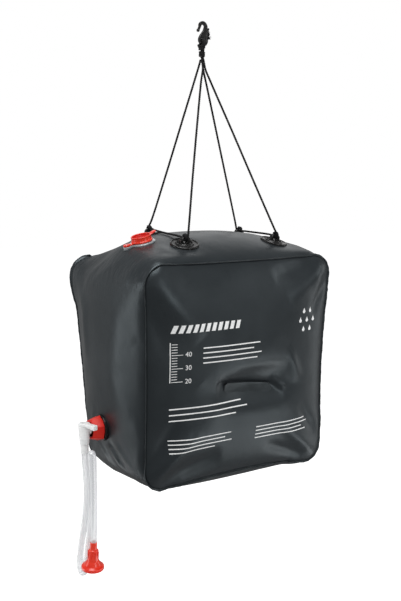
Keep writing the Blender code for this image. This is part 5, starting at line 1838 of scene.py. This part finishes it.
@dataclass
class Tap:
    """The side tap: port, nut, body, lever and cuff, all on the tap's axis.

    Attributes:
        form: The bag's filled form.
        barrel: Place of the barrel's axis.
    """

    form: BagForm
    barrel: Vector = Vector((-0.25083, 0.0, -0.7237))

    def axis(self) -> Matrix:
        """Frame on the skin: Z out of the bag along the tap's axis, X towards the front."""
        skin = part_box("tap_gasket")[1].x + 0.0178
        return Shaper.frame_along(
            Vector((skin, self.barrel.y, self.barrel.z)), Vector((-1, 0, 0)), Vector((0, -1, 0))
        )

    def build(self) -> None:
        """Builds every piece of the tap."""
        axis = self.axis()
        upright = Matrix.Translation(self.barrel)
        port = Shaper.turned(Shaper.soften((
            (0.0080, -0.0045), (0.0245, -0.0045), (0.0245, 0.0055), (0.0125, 0.0055), (0.0125, 0.0175),
            (0.0080, 0.0175),
        ), 0.0010, 3, True), 72, True)
        Piece("tap_port_moulding", MOULDING, Slot.MOULDING, "bag", ("tap_port",)).add_shape(
            Shaper.put(port, axis), MOULDED_DEGREES
        )
        self.build_nut(axis)
        self.build_body(axis, upright)
        self.build_lever(upright)
        cuff = Shaper.turned(Shaper.soften((
            (0.0051, -0.0418), (0.0072, -0.0418), (0.0075, -0.0400), (0.0071, -0.0382), (0.0074, -0.0300),
            (0.0074, -0.0258),
            (0.0051, -0.0258),
        ), 0.0006, 3, True), 48, True)
        Piece("hose_cuff_sleeve", WHITE, Slot.CLEAR, "bag", ("hose_cuff",)).add_shape(
            Shaper.put(cuff, upright), MOULDED_DEGREES
        )

    def build_nut(self, axis: Matrix) -> None:
        """Builds the six-sided tapering nut with its flange.

        Args:
            axis: The frame on the skin.
        """
        foot, end = 0.0058, 0.0251
        low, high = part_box("tap_nut")
        end = foot + (high.x - low.x)
        nut = Shaper.turned(Shaper.soften((
            (0.0128, foot), (0.0212, foot), (0.0214, foot + 0.0006), (0.0210, foot + 0.0014),
            (0.0128, foot + 0.0014),
        ), 0.0004, 2, True), 72, True)
        flats = bmesh.new()
        bmesh.ops.create_cone(
            flats, cap_ends=True, segments=6, radius1=0.0249, radius2=0.0188, depth=end - foot - 0.0010,
            matrix=Matrix.Translation((0, 0,
                (foot + 0.0010 + end) / 2)) @ Matrix.Rotation(math.radians(-10.0), 4, "Z"),
        )
        sharp = [edge for edge in flats.edges if edge.calc_face_angle(0.0) > math.radians(30.0)]
        bmesh.ops.bevel(
            flats, geom=sharp, offset=0.0007, offset_type="OFFSET", affect="EDGES", segments=3, profile=0.5,
            material=-1, clamp_overlap=True,
        )
        Shaper.put(flats, Matrix(), nut)
        lip = Shaper.turned(Shaper.soften((
            (0.0079, end - 0.0006), (0.0140, end - 0.0006), (0.0138, end + 0.0), (0.0079, end + 0.0),
        ), 0.0002, 2, True), 48, True)
        Shaper.put(lip, Matrix(), nut)
        # the nut takes the darker red copy: painted shade
        Piece("tap_nut_moulding", NUT_RED_PAINTED_SHADE, Slot.RED, "bag", ("tap_nut",)).add_shape(Shaper.put(nut, axis),
            32.0)

    def build_body(self, axis: Matrix, upright: Matrix) -> None:
        """Builds the white barrel with its spout, outlet and rings.

        Args:
            axis: The frame on the skin.
            upright: The barrel's frame.
        """
        body = Shaper.turned(Shaper.soften((
            (0, -0.0415), (0.0048, -0.0418), (0.0050, -0.0300), (0.0048, -0.0255), (0.0080, -0.0255),
            (0.0084, -0.0245),
            (0.0090, -0.0160), (0.0095, -0.0150), (0.0095, -0.0138), (0.0091, -0.0128), (0.0106, 0.0060),
            (0.0110, 0.0066),
            (0.0110, 0.0080), (0, 0.0080),
        ), 0.0006, 3), 64)
        Shaper.put(body, upright)
        reach = axis.translation.x - self.barrel.x
        spout = Shaper.turned(Shaper.soften((
            (0, 0.0195), (0.0118, 0.0195), (0.0118, 0.0217), (0.0076, 0.0219), (0.0076, reach), (0, reach),
        ), 0.0006, 3), 48)
        Shaper.put(spout, axis, body)
        Piece("tap_barrel", WHITE, Slot.WHITE, "bag", ("tap_body",)).add_shape(body, MOULDED_DEGREES)

    def build_lever(self, upright: Matrix) -> None:
        """Builds the quarter-turn lever with its ribbed hub.

        Args:
            upright: The barrel's frame.
        """
        turned = upright @ Matrix.Rotation(math.radians(-73.0), 4, "Z")
        hub, long = 0.0104, 0.0300
        start = math.asin(0.0060 / hub)
        outline = [(long, -0.0049), (long, 0.0049)]
        for step in range(33):
            turn = start + (math.tau - 2 * start) * step / 32
            outline.append((hub * math.cos(turn), hub * math.sin(turn)))
        lever = Shaper.slab(Shaper.soften(outline, 0.0012, 3, True), 0.0084, 0.0136, 0.0010, 3)
        for vert in lever.verts:
            if vert.co.x > 0.0135 and vert.co.z < 0.0110:
                vert.co.z -= 0.0034 * (vert.co.x - 0.0135) / (long - 0.0135)
        boss = Shaper.turned(Shaper.soften(((0, 0.0120), (0.0072, 0.0120), (0.0068, 0.0142), (0.0050, 0.0142),
            (0.0046, 0.0137), (0, 0.0137)), 0.0004, 2), 40)
        Shaper.put(boss, Matrix(), lever)
        for place in (0.0130, 0.0170, 0.0210, 0.0250):
            rib = Shaper.slab(((place, -0.0034), (place + 0.0014, -0.0034), (place + 0.0014, 0.0034),
                (place, 0.0034)), 0.0130, 0.0141, 0.0004, 2)
            Shaper.put(rib, Matrix(), lever)
        Shaper.put(lever, turned)
        Piece("tap_lever_moulding", WHITE, Slot.WHITE, "tap_handle", ("tap_lever",)).add_shape(lever,
            MOULDED_DEGREES)


@dataclass
class ShowerHead:
    """The red shower head and its pierced rose.

    Attributes:
        tilt: How far the head leans about X.
    """

    tilt: float = math.radians(6.0)

    def place(self) -> Matrix:
        """The head's frame at the hose's end."""
        end = Vector(HOSE_ROUTE[-1]) - Vector((0, 0, 0.0003))
        return Matrix.Translation(end) @ Matrix.Rotation(self.tilt, 4, "X")

    def build(self) -> List[bpy.types.Object]:
        """Builds the head, gives the rose its finish, and returns them.

        Returns:
            The head and the rose.
        """
        place = self.place()
        head = Shaper.turned(Shaper.soften((
            (0.0030, -0.0002), (0.0060, 0.0), (0.0062, -0.0008), (0.0066, -0.0140), (0.0086, -0.0150),
            (0.0088, -0.0170),
            (0.0084, -0.0180), (0.0092, -0.0270), (0.0104, -0.0340), (0.0124, -0.0400), (0.0160, -0.0442),
            (0.0198, -0.0460), (0.0205, -0.0472),
            (0.0205, -0.0512), (0.0200, -0.0520), (0.0188, -0.0520), (0.0187, -0.0499), (0.0169, -0.0496),
            (0.0169, -0.0464),
            (0.0094, -0.0330), (0.0030, -0.0150),
        ), 0.0009, 3, True), 80, True)
        for step in range(8):
            turn = math.tau * step / 8
            rib = Shaper.slab(((-0.0022, -0.0005), (0.0, -0.0005), (0.0, 0.0005), (-0.0022, 0.0005)), -0.0300,
                -0.0176, 0.0003, 2)
            Shaper.put(rib, Matrix.Rotation(turn, 4, "Z") @ Matrix.Translation((0.0106, 0, 0)), head)
        Shaper.put(head, place)
        body = Piece("shower_head_moulding", RED, Slot.RED, "bag", ("shower_head",)).add_shape(head,
            MOULDED_DEGREES)
        rose = bpy.context.scene.objects["rose_plate"]
        rose.data.materials.clear()
        rose.data.materials.append(RED.material())
        return [body, rose]


class OnSkin:
    """Carries flat layouts to the front skin."""

    def __init__(self, skin: bpy.types.Object) -> None:
        """Reads the finished skin."""
        deps = bpy.context.evaluated_depsgraph_get()
        self.tree = BVHTree.FromObject(skin.evaluated_get(deps), deps)

    def place(self, x: float, z: float, lift: float) -> Vector:
        """The point of the skin in front of a flat point.

        Args:
            x: Across, from the bag's middle.
            z: Up, from the bag's middle.
            lift: How far the point stands off the skin.

        Returns:
            The point in the row frame.
        """
        hit, normal, _, _ = self.tree.ray_cast(Vector((x, -0.3, z)) + BAG_MIDDLE, Vector((0, 1, 0)))
        return hit + (normal if normal.y < 0 else -normal) * lift

    @staticmethod
    def face_out(shape: bmesh.types.BMesh) -> None:
        """Turns the faces of a layout to the front."""
        bmesh.ops.recalc_face_normals(shape, faces=shape.faces[:])
        if sum(face.normal.y * face.calc_area() for face in shape.faces) > 0:
            bmesh.ops.reverse_faces(shape, faces=shape.faces[:])


@dataclass
class TieWeld:
    """The bar where the inner tie is welded to the front, proud of the skin.

    Attributes:
        left: Its left end from the bag's middle.
        right: Its right end.
        left_height: Height of its middle at the left end.
        right_height: Height of its middle at the right end.
        half: Half its width.
        rise: How far it stands off the skin.
    """

    left: float = -0.048
    right: float = 0.060
    left_height: float = -0.0260
    right_height: float = -0.0385
    half: float = 0.0085
    rise: float = 0.0052

    def build(self, skin: bpy.types.Object) -> bpy.types.Object:
        """Builds the bar on the front skin.

        Args:
            skin: The front skin.

        Returns:
            The bar's object.
        """
        shape = bmesh.new()
        bmesh.ops.create_grid(shape, x_segments=60, y_segments=16, size=1.0)
        middle, reach = (self.left + self.right) / 2, (self.right - self.left) / 2
        on_skin = OnSkin(skin)
        for vert in shape.verts:
            across, up = (math.sin(share * math.pi / 2) for share in (vert.co.x, vert.co.y))
            x = across * (reach - 0.003 * up ** 6)
            y = up * (self.half - 0.002 * across ** 20)
            inside = min(reach - abs(x), self.half - abs(y))
            height = self.rise * min(1.0, inside / 0.0006) * (0.5 + 0.5 * y / self.half)
            share = (x + reach) / (2 * reach)
            lean = self.left_height + (self.right_height - self.left_height) * share
            vert.co = on_skin.place(middle + x, lean + y, height - 0.0001)
        on_skin.face_out(shape)
        # the bar's lighter weld vinyl is partly painted light, standing in for its lit face
        return Piece("tie_weld_bar", WELD_VINYL_PAINTED_LIGHT, Slot.VINYL, "bag").add_shape(shape, 180.0)


@dataclass
class PrintedMarks:
    """A generic white print on the front: a level scale, bars, drops and ruled lines.

    Attributes:
        lift: How far the ink stands off the skin.
    """

    lift: float = 0.00022

    def bar(self, shape: bmesh.types.BMesh, left: float, low: float, right: float, high: float,
        slant: float = 0.0) -> None:
        """Adds a bar, sheared by slant.

        Args:
            shape: The layout, which gets the bar.
            left: Its left edge.
            low: Its lower edge.
            right: Its right edge.
            high: Its upper edge.
            slant: How far its top leans to the right.
        """
        across = max(1, math.ceil((right - left) / 0.003))
        up = max(1, math.ceil((high - low) / 0.003))
        made = bmesh.ops.create_grid(shape, x_segments=across, y_segments=up, size=0.5)["verts"]
        for vert in made:
            x, y = vert.co.x + 0.5, vert.co.y + 0.5
            vert.co = Vector((left + (right - left) * x + slant * y, low + (high - low) * y, 0.0))

    def drop(self, shape: bmesh.types.BMesh, x: float, z: float, size: float) -> None:
        """Adds a water drop with its tip up.

        Args:
            shape: The layout, which gets the drop.
            x: Middle of its round part, across.
            z: Middle of its round part, up.
            size: Radius of its round part.
        """
        made = bmesh.ops.create_circle(shape, cap_ends=True, cap_tris=True, segments=28, radius=size)["verts"]
        for vert in made:
            up = max(0.0, vert.co.y / size)
            vert.co = Vector(
                (x + vert.co.x * (1 - 0.85 * up ** 1.2), z + vert.co.y + size * 0.9 * up ** 1.5, 0.0)
            )

    def number(self, shape: bmesh.types.BMesh, text: str, x: float, z: float, size: float) -> None:
        """Adds a number of the level scale.

        Args:
            shape: The layout, which gets the number.
            text: The number.
            x: Its left edge.
            z: Its baseline.
            size: Its font size.
        """
        curve = bpy.data.curves.new("number", "FONT")
        curve.body = text
        curve.size = size
        curve.resolution_u = 4
        passing = bpy.data.objects.new("number", curve)
        mesh = bpy.data.meshes.new_from_object(passing)
        bpy.data.objects.remove(passing)
        mesh.transform(Matrix.Translation((x, z, 0.0)))
        shape.from_mesh(mesh)
        bpy.data.meshes.remove(mesh)

    def layout(self) -> bmesh.types.BMesh:
        """The flat layout, x across and y up from the bag's middle.

        Returns:
            The layout's shape.
        """
        shape = bmesh.new()
        for index in range(11):
            left = -0.158 + index * 0.0125
            self.bar(shape, left, 0.082, left + 0.0078, 0.096, 0.0045)
        for row, (count, start) in enumerate(((2, 0.126), (3, 0.117), (2, 0.126))):
            for index in range(count):
                self.drop(shape, start + index * 0.018, 0.098 - row * 0.017, 0.0036)
        self.bar(shape, -0.158, -0.004, -0.1565, 0.066)
        for index in range(15):
            long = index % 5 == 0
            self.bar(shape, -0.155, -0.0035 + index * 0.0047, -0.155 + (0.020 if long else 0.010),
                -0.0025 + index * 0.0047)
        for index, text in enumerate(("20", "30", "40")):
            self.number(shape, text, -0.131, -0.0065 + index * 0.0235, 0.012)
        for row, long in enumerate((0.118, 0.104, 0.121, 0.112)):
            z = 0.052 - row * 0.0088
            self.bar(shape, -0.098, z, -0.098 + long, z + 0.0021)
        for row, long in enumerate((0.146, 0.158, 0.132)):
            z = -0.052 - row * 0.0105
            self.bar(shape, -0.158, z, -0.158 + long, z + 0.0022)
        for row, (long, longer) in enumerate(
            ((0.124, 0.118), (0.112, 0.126), (0.127, 0.109), (0.092, 0.121))
        ):
            z = -0.108 - row * 0.0072
            self.bar(shape, -0.158, z, -0.158 + long, z + 0.0018)
            self.bar(shape, 0.022, z, 0.022 + longer, z + 0.0018)
        return shape

    def build(self, skin: bpy.types.Object) -> bpy.types.Object:
        """Presses the layout on the front skin.

        Args:
            skin: The front skin.

        Returns:
            The print's object.
        """
        shape = self.layout()
        bmesh.ops.triangulate(shape, faces=shape.faces[:])
        lines = [edge for edge in shape.edges if edge.calc_length() > 0.004]
        bmesh.ops.subdivide_edges(shape, edges=lines, cuts=1, use_grid_fill=False)
        on_skin = OnSkin(skin)
        for vert in shape.verts:
            vert.co = on_skin.place(vert.co.x, vert.co.y, self.lift)
        on_skin.face_out(shape)
        return Piece("front_print", INK, Slot.VINYL, "bag").add_shape(shape, 180.0)


@dataclass
class Studio:
    """Camera, floor, backdrop and lamps.

    Attributes:
        focal_pixels: Focal length in pixels of the photograph.
        camera_place: Place of the camera.
        floor_height: Height of the floor.
    """

    focal_pixels: float = 867.7
    camera_place: Vector = Vector((-0.8977, -1.3713, -0.2749))
    floor_height: float = -1.42

    def build_camera(self) -> None:
        """Sets the camera at the photograph's angle."""
        right = Vector((0.8377, -0.5461, 0.0016))
        up = Vector((0.0757, 0.1191, 0.9900))
        back = Vector((-0.5408, -0.8292, 0.1411)).normalized()
        right = (right - back * right.dot(back)).normalized()
        up = back.cross(right)
        data = bpy.data.cameras.new("camera")
        data.sensor_width = 36.0
        data.lens = self.focal_pixels * 36.0 / 601.0
        data.clip_start = 0.05
        data.clip_end = 50.0
        camera = bpy.data.objects.new("camera", data)
        camera.matrix_world = Matrix.Translation(self.camera_place) @ Matrix((right, up,
            back)).transposed().to_4x4()
        bpy.context.scene.collection.objects.link(camera)
        bpy.context.scene.camera = camera

    def lamp(self, name: str, place: Point, aim: Point, size: Tuple[float, float], power: float) -> None:
        """Adds a soft box.

        Args:
            name: The lamp's name.
            place: Where it stands.
            aim: What it points at.
            size: Its width and height.
            power: Its power in watts.
        """
        data = bpy.data.lights.new(name, "AREA")
        data.shape = "RECTANGLE"
        data.size, data.size_y = size
        data.energy = power
        lamp = bpy.data.objects.new(name, data)
        direction = Vector(aim) - Vector(place)
        lamp.matrix_world = Matrix.Translation(place) @ direction.to_track_quat("-Z",
            "Y").to_matrix().to_4x4()
        bpy.context.scene.collection.objects.link(lamp)

    def build_floor(self) -> None:
        """Adds the pale floor, which keeps a soft shadow."""
        shape = bmesh.new()
        bmesh.ops.create_grid(
            shape, x_segments=1, y_segments=1, size=12.0, matrix=Matrix.Translation((0, 0, self.floor_height))
        )
        mesh = bpy.data.meshes.new("floor")
        shape.to_mesh(mesh)
        shape.free()
        floor = bpy.data.objects.new("floor", mesh)
        bpy.context.scene.collection.objects.link(floor)
        made = bpy.data.materials.new("pale_floor")
        made.use_nodes = True
        tree = made.node_tree
        shader = tree.nodes["Principled BSDF"]
        shader.inputs["Roughness"].default_value = 0.9
        shader.inputs["Specular IOR Level"].default_value = 0.0
        path = tree.nodes.new("ShaderNodeLightPath")
        camera = Signal(tree, path.outputs["Is Camera Ray"])
        glossy = Signal(tree, path.outputs["Is Glossy Ray"])
        through = Signal(tree, path.outputs["Is Transmission Ray"])
        shade = WHITE.mixed(tree, glossy, (0.80, 0.80, 0.80), (0.20, 0.20, 0.20))
        Signal.feed(tree, shader.inputs["Base Color"], shade)
        seen = (camera + through).clamped(0.0, 1.0)
        Signal.feed(tree, shader.inputs["Emission Color"], WHITE.mixed(
            tree, seen, (0.0, 0.0, 0.0), (0.72, 0.72, 0.72)
        ))
        Signal.feed(tree, shader.inputs["Emission Strength"], 1.0)
        mesh.materials.append(made)

    def build_world(self) -> None:
        """Sets a soft white world."""
        world = bpy.data.worlds.new("studio")
        bpy.context.scene.world = world
        world.use_nodes = True
        tree = world.node_tree
        background = tree.nodes["Background"]
        path = tree.nodes.new("ShaderNodeLightPath")
        seen = Signal(tree, path.outputs["Is Camera Ray"])
        through = Signal(tree, path.outputs["Is Transmission Ray"])
        glossy = Signal(tree, path.outputs["Is Glossy Ray"])
        unseen = WHITE.mixed(tree, glossy, (0.46, 0.46, 0.46), (0.19, 0.19, 0.19))
        shade = WHITE.mixed(tree, (seen + through).clamped(0.0, 1.0), unseen, (1.0, 1.0, 1.0))
        Signal.feed(tree, background.inputs["Color"], shade)
        Signal.feed(tree, background.inputs["Strength"], 1.0)

    def build(self) -> None:
        """Builds the whole studio."""
        bpy.context.scene.view_settings.view_transform = "Standard"
        self.build_camera()
        self.build_floor()
        self.build_world()
        middle = (0.0, 0.0, -0.62)
        self.lamp("left", (-1.95, 0.88, -0.55), middle, (0.8, 1.5), 9.0)
        self.lamp("left_back", (-0.5, 2.2, -0.50), middle, (2.6, 2.2), 3.6)
        self.lamp("right_front", (2.05, -0.50, -0.75), middle, (0.6, 1.5), 3.8)
        self.lamp("right_high", (1.50, -1.15, 0.00), middle, (0.5, 0.5), 2.0)
        self.lamp("front", (0.36, -2.05, -0.30), middle, (0.5, 0.8), 4.8)
        self.lamp("low_front", (0.95, -1.25, -1.36), middle, (0.8, 0.5), 2.8)
        self.lamp("low_right", (0.62, -0.56, -1.39), (0.03, -0.10, -0.82), (0.9, 0.4), 2.4)
        self.lamp("low_left", (-0.64, 0.50, -1.37), (-0.18, 0.00, -0.80), (0.6, 0.6), 1.9)
        self.lamp("top_back", (1.15, 1.5, 0.55), middle, (1.8, 1.1), 5.0)
        self.lamp("overhead", (-0.5, -0.5, 1.3), middle, (1.3, 1.3), 30.0)


def dress_kept_nodes() -> None:
    """Gives the CAD nodes that stay their finishes."""
    for node, finish, slot in (
        ("cap_seal", RUBBER, Slot.RUBBER), ("tap_gasket", RUBBER, Slot.RUBBER), (
            "valve_plug", WHITE, Slot.WHITE
        ),
    ):
        thing = bpy.context.scene.objects[node]
        thing.data.materials.clear()
        thing.data.materials.append(finish.material())


def folds() -> List[Fold]:
    """The folds that the photograph shows, from the bag's middle.

    Returns:
        The folds, in the order in which their heights are added.
    """
    return [
        Fold(((-0.194, -0.128, 0.188), (-0.162, -0.140, 0.138), (-0.100, -0.155, 0.070)), 0.026, 0.0070),
        Fold(((-0.197, -0.128, 0.160), (-0.186, -0.134, 0.110), (-0.165, -0.145, 0.040)), 0.016, -0.0040),
        Fold(((-0.168, -0.128, 0.194), (-0.110, -0.136, 0.180), (-0.040, -0.146, 0.170)), 0.022, -0.0030),
        Fold(((0.190, -0.126, 0.192), (0.152, -0.138, 0.158), (0.090, -0.150, 0.120)), 0.017, 0.0056),
        Fold(((0.192, -0.126, 0.165), (0.176, -0.132, 0.134), (0.146, -0.142, 0.090)), 0.012, -0.0036),
        Fold(((0.165, -0.126, 0.194), (0.120, -0.134, 0.178), (0.060, -0.142, 0.168)), 0.014, -0.0036),
        Fold(((-0.192, -0.114, -0.184), (-0.156, -0.128, -0.146), (-0.100, -0.140, -0.098)), 0.013, 0.0085),
        Fold(((-0.194, -0.116, -0.160), (-0.172, -0.128, -0.120), (-0.140, -0.138, -0.070)), 0.011, -0.0045),
        Fold(((-0.168, -0.114, -0.192), (-0.130, -0.126, -0.172), (-0.050, -0.136, -0.150)), 0.018, -0.0080),
        Fold(((0.186, -0.114, -0.190), (0.140, -0.128, -0.156), (0.078, -0.140, -0.108)), 0.011, 0.0062),
        Fold(((0.188, -0.116, -0.165), (0.160, -0.128, -0.128), (0.120, -0.138, -0.080)), 0.010, -0.0040),
        Fold(((0.160, -0.114, -0.194), (0.112, -0.126, -0.170), (0.050, -0.136, -0.146)), 0.010, -0.0042),
        Crease(((-0.066, -0.140, -0.0150), (0.084, -0.140, -0.0325)), 0.011, -0.0125, 0.026),
        Fold(((-0.030, -0.145, -0.004), (0.030, -0.140, -0.002), (0.095, -0.140, -0.004)), 0.012, -0.0040),
        Fold(((0.058, -0.140, -0.020), (0.072, -0.140, -0.030), (0.088, -0.140, -0.044)), 0.0055, 0.0075),
        Fold(((-0.098, -0.145, -0.010), (-0.076, -0.145, -0.030), (-0.060, -0.145, -0.055)), 0.018, -0.0025),
        Fold(((0.088, -0.140, 0.034), (0.102, -0.140, 0.004), (0.120, -0.138, -0.030)), 0.010, 0.0058),
        Fold(((-0.210, -0.112, 0.165), (-0.222, -0.060, 0.105), (-0.224, -0.050, 0.000),
            (-0.212, -0.100, -0.150)), 0.030, 0.0040),
        Fold(((-0.205, 0.125, 0.170), (-0.220, 0.070, 0.100), (-0.222, 0.060, 0.010)), 0.015, 0.0038),
        Fold(((-0.206, 0.080, -0.165), (-0.220, 0.045, -0.130), (-0.222, 0.030, -0.070)), 0.012, 0.0030),
        Fold(((-0.216, 0.050, -0.120), (-0.214, 0.010, -0.155), (-0.200, -0.025, -0.198)), 0.0050, 0.0026),
        Fold(((-0.217, 0.030, -0.112), (-0.215, -0.008, -0.150), (-0.204, -0.044, -0.190)), 0.0045, -0.0024),
        Fold(((-0.217, 0.008, -0.112), (-0.214, -0.030, -0.148), (-0.204, -0.066, -0.182)), 0.0050, 0.0028),
        Fold(((-0.216, -0.014, -0.115), (-0.213, -0.050, -0.150), (-0.203, -0.082, -0.176)), 0.0045, -0.0024),
        Fold(((-0.214, -0.040, -0.122), (-0.210, -0.070, -0.150), (-0.203, -0.096, -0.168)), 0.0050, 0.0026),
        Fold(((-0.190, 0.030, -0.200), (-0.178, -0.045, -0.214), (-0.160, -0.110, -0.206)), 0.030, -0.0065),
        Fold(((0.120, -0.114, -0.200), (0.185, -0.114, -0.198), (0.200, -0.114, -0.176)), 0.018, 0.0058),
        Fold(((-0.210, 0.020, 0.175), (-0.185, 0.055, 0.212), (-0.150, 0.080, 0.228), (-0.095, 0.105, 0.236)),
            0.036, -0.0075),
        Fold(((-0.120, -0.114, -0.200), (0.030, -0.114, -0.200), (0.130, -0.114, -0.200)), 0.024, -0.0034),
        Fold(((0.201, -0.122, 0.130), (0.199, -0.118, 0.000), (0.198, -0.115, -0.120)), 0.024, -0.0028),
        Fold(((-0.205, 0.150, 0.204), (-0.212, 0.153, 0.165), (-0.206, 0.150, 0.100)), 0.034, 0.0085),
        Fold(((-0.150, -0.110, -0.215), (-0.140, -0.060, -0.226), (-0.110, -0.020, -0.230)), 0.010, 0.0036),
        Fold(((0.206, -0.100, 0.160), (0.222, -0.030, 0.090), (0.224, 0.010, 0.020)), 0.015, 0.0038),
        Fold(((0.206, 0.120, 0.165), (0.222, 0.060, 0.100), (0.224, 0.020, 0.030)), 0.014, -0.0032),
        Fold(((0.204, -0.090, -0.165), (0.220, -0.040, -0.120), (0.224, 0.000, -0.060)), 0.014, 0.0034),
        Fold(((-0.188, 0.150, 0.190), (-0.150, 0.168, 0.150), (-0.090, 0.180, 0.100)), 0.017, 0.0052),
        Fold(((0.188, 0.150, 0.190), (0.150, 0.168, 0.150), (0.090, 0.180, 0.100)), 0.017, 0.0052),
        Fold(((-0.186, 0.095, -0.186), (-0.140, 0.115, -0.145), (-0.080, 0.128, -0.100)), 0.014, 0.0048),
        Fold(((0.186, 0.095, -0.186), (0.140, 0.115, -0.145), (0.080, 0.128, -0.100)), 0.014, 0.0048),
        Fold(((-0.215, 0.060, 0.185), (-0.180, 0.125, 0.205), (-0.120, 0.150, 0.215), (-0.050, 0.160, 0.215)),
            0.044, -0.0145),
        Fold(((-0.165, -0.100, 0.222), (-0.110, -0.060, 0.236), (-0.050, -0.040, 0.240)), 0.016, 0.0030),
        Fold(((0.165, -0.100, 0.222), (0.130, -0.050, 0.234), (0.060, -0.020, 0.240)), 0.016, 0.0030),
    ]


def main() -> None:
    """Builds the dressed part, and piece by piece."""
    logging.basicConfig(level=logging.INFO, format="%(name)s: %(message)s")
    form = BagForm()
    eyes = PadEyes(form)
    filler = Filler(form)
    tap = Tap(form)
    studio = Studio()
    studio.build()
    head = ShowerHead().build()
    Hose().build(head)
    Rope("sling_rope_left", LEFT_SLING_ROUTE, "sling_cord_left").build({"far_end": "object", "lay": "taut"})
    Rope("sling_rope_right", RIGHT_SLING_ROUTE, "sling_cord_right").build(
        {"far_end": "object", "lay": "taut"}
    )
    Rope("tail_upper", UPPER_TAIL_ROUTE, "cord_tail_upper").build({"far_end": "bare", "lay": "loose"})
    Rope("tail_lower", LOWER_TAIL_ROUTE, "cord_tail_lower").build({"far_end": "bare", "lay": "loose"})
    Rope("sling_rope_loop", Knot.bight(0.0048, -0.0012), "sling_loop", step=0.0006).build()
    Rope("sling_rope_bight", Knot.bight(0.0074, -0.0006), step=0.0006).build()
    Knot().build()
    Hook().build()
    spots = [(place.translation, 0.030) for place in eyes.places().values()]
    spots += [(filler.place().translation, 0.030), (tap.axis().translation, 0.028)]
    skin = BagSkin(form, flat_spots=spots, folds=folds())
    seams = skin.build()
    SeamLip("front_seam_lip", "front_weld_lip").build(seams["front"])
    SeamLip("back_seam_lip", "back_weld_lip", 0.0046).build(seams["back"])
    eyes.build()
    filler.build()
    tap.build()
    dress_kept_nodes()
    bpy.context.view_layer.update()
    front = bpy.context.scene.objects["front_skin"]
    TieWeld().build(front)
    PrintedMarks().build(front)
    bpy.context.view_layer.update()


if __name__ == "__main__":
    main()
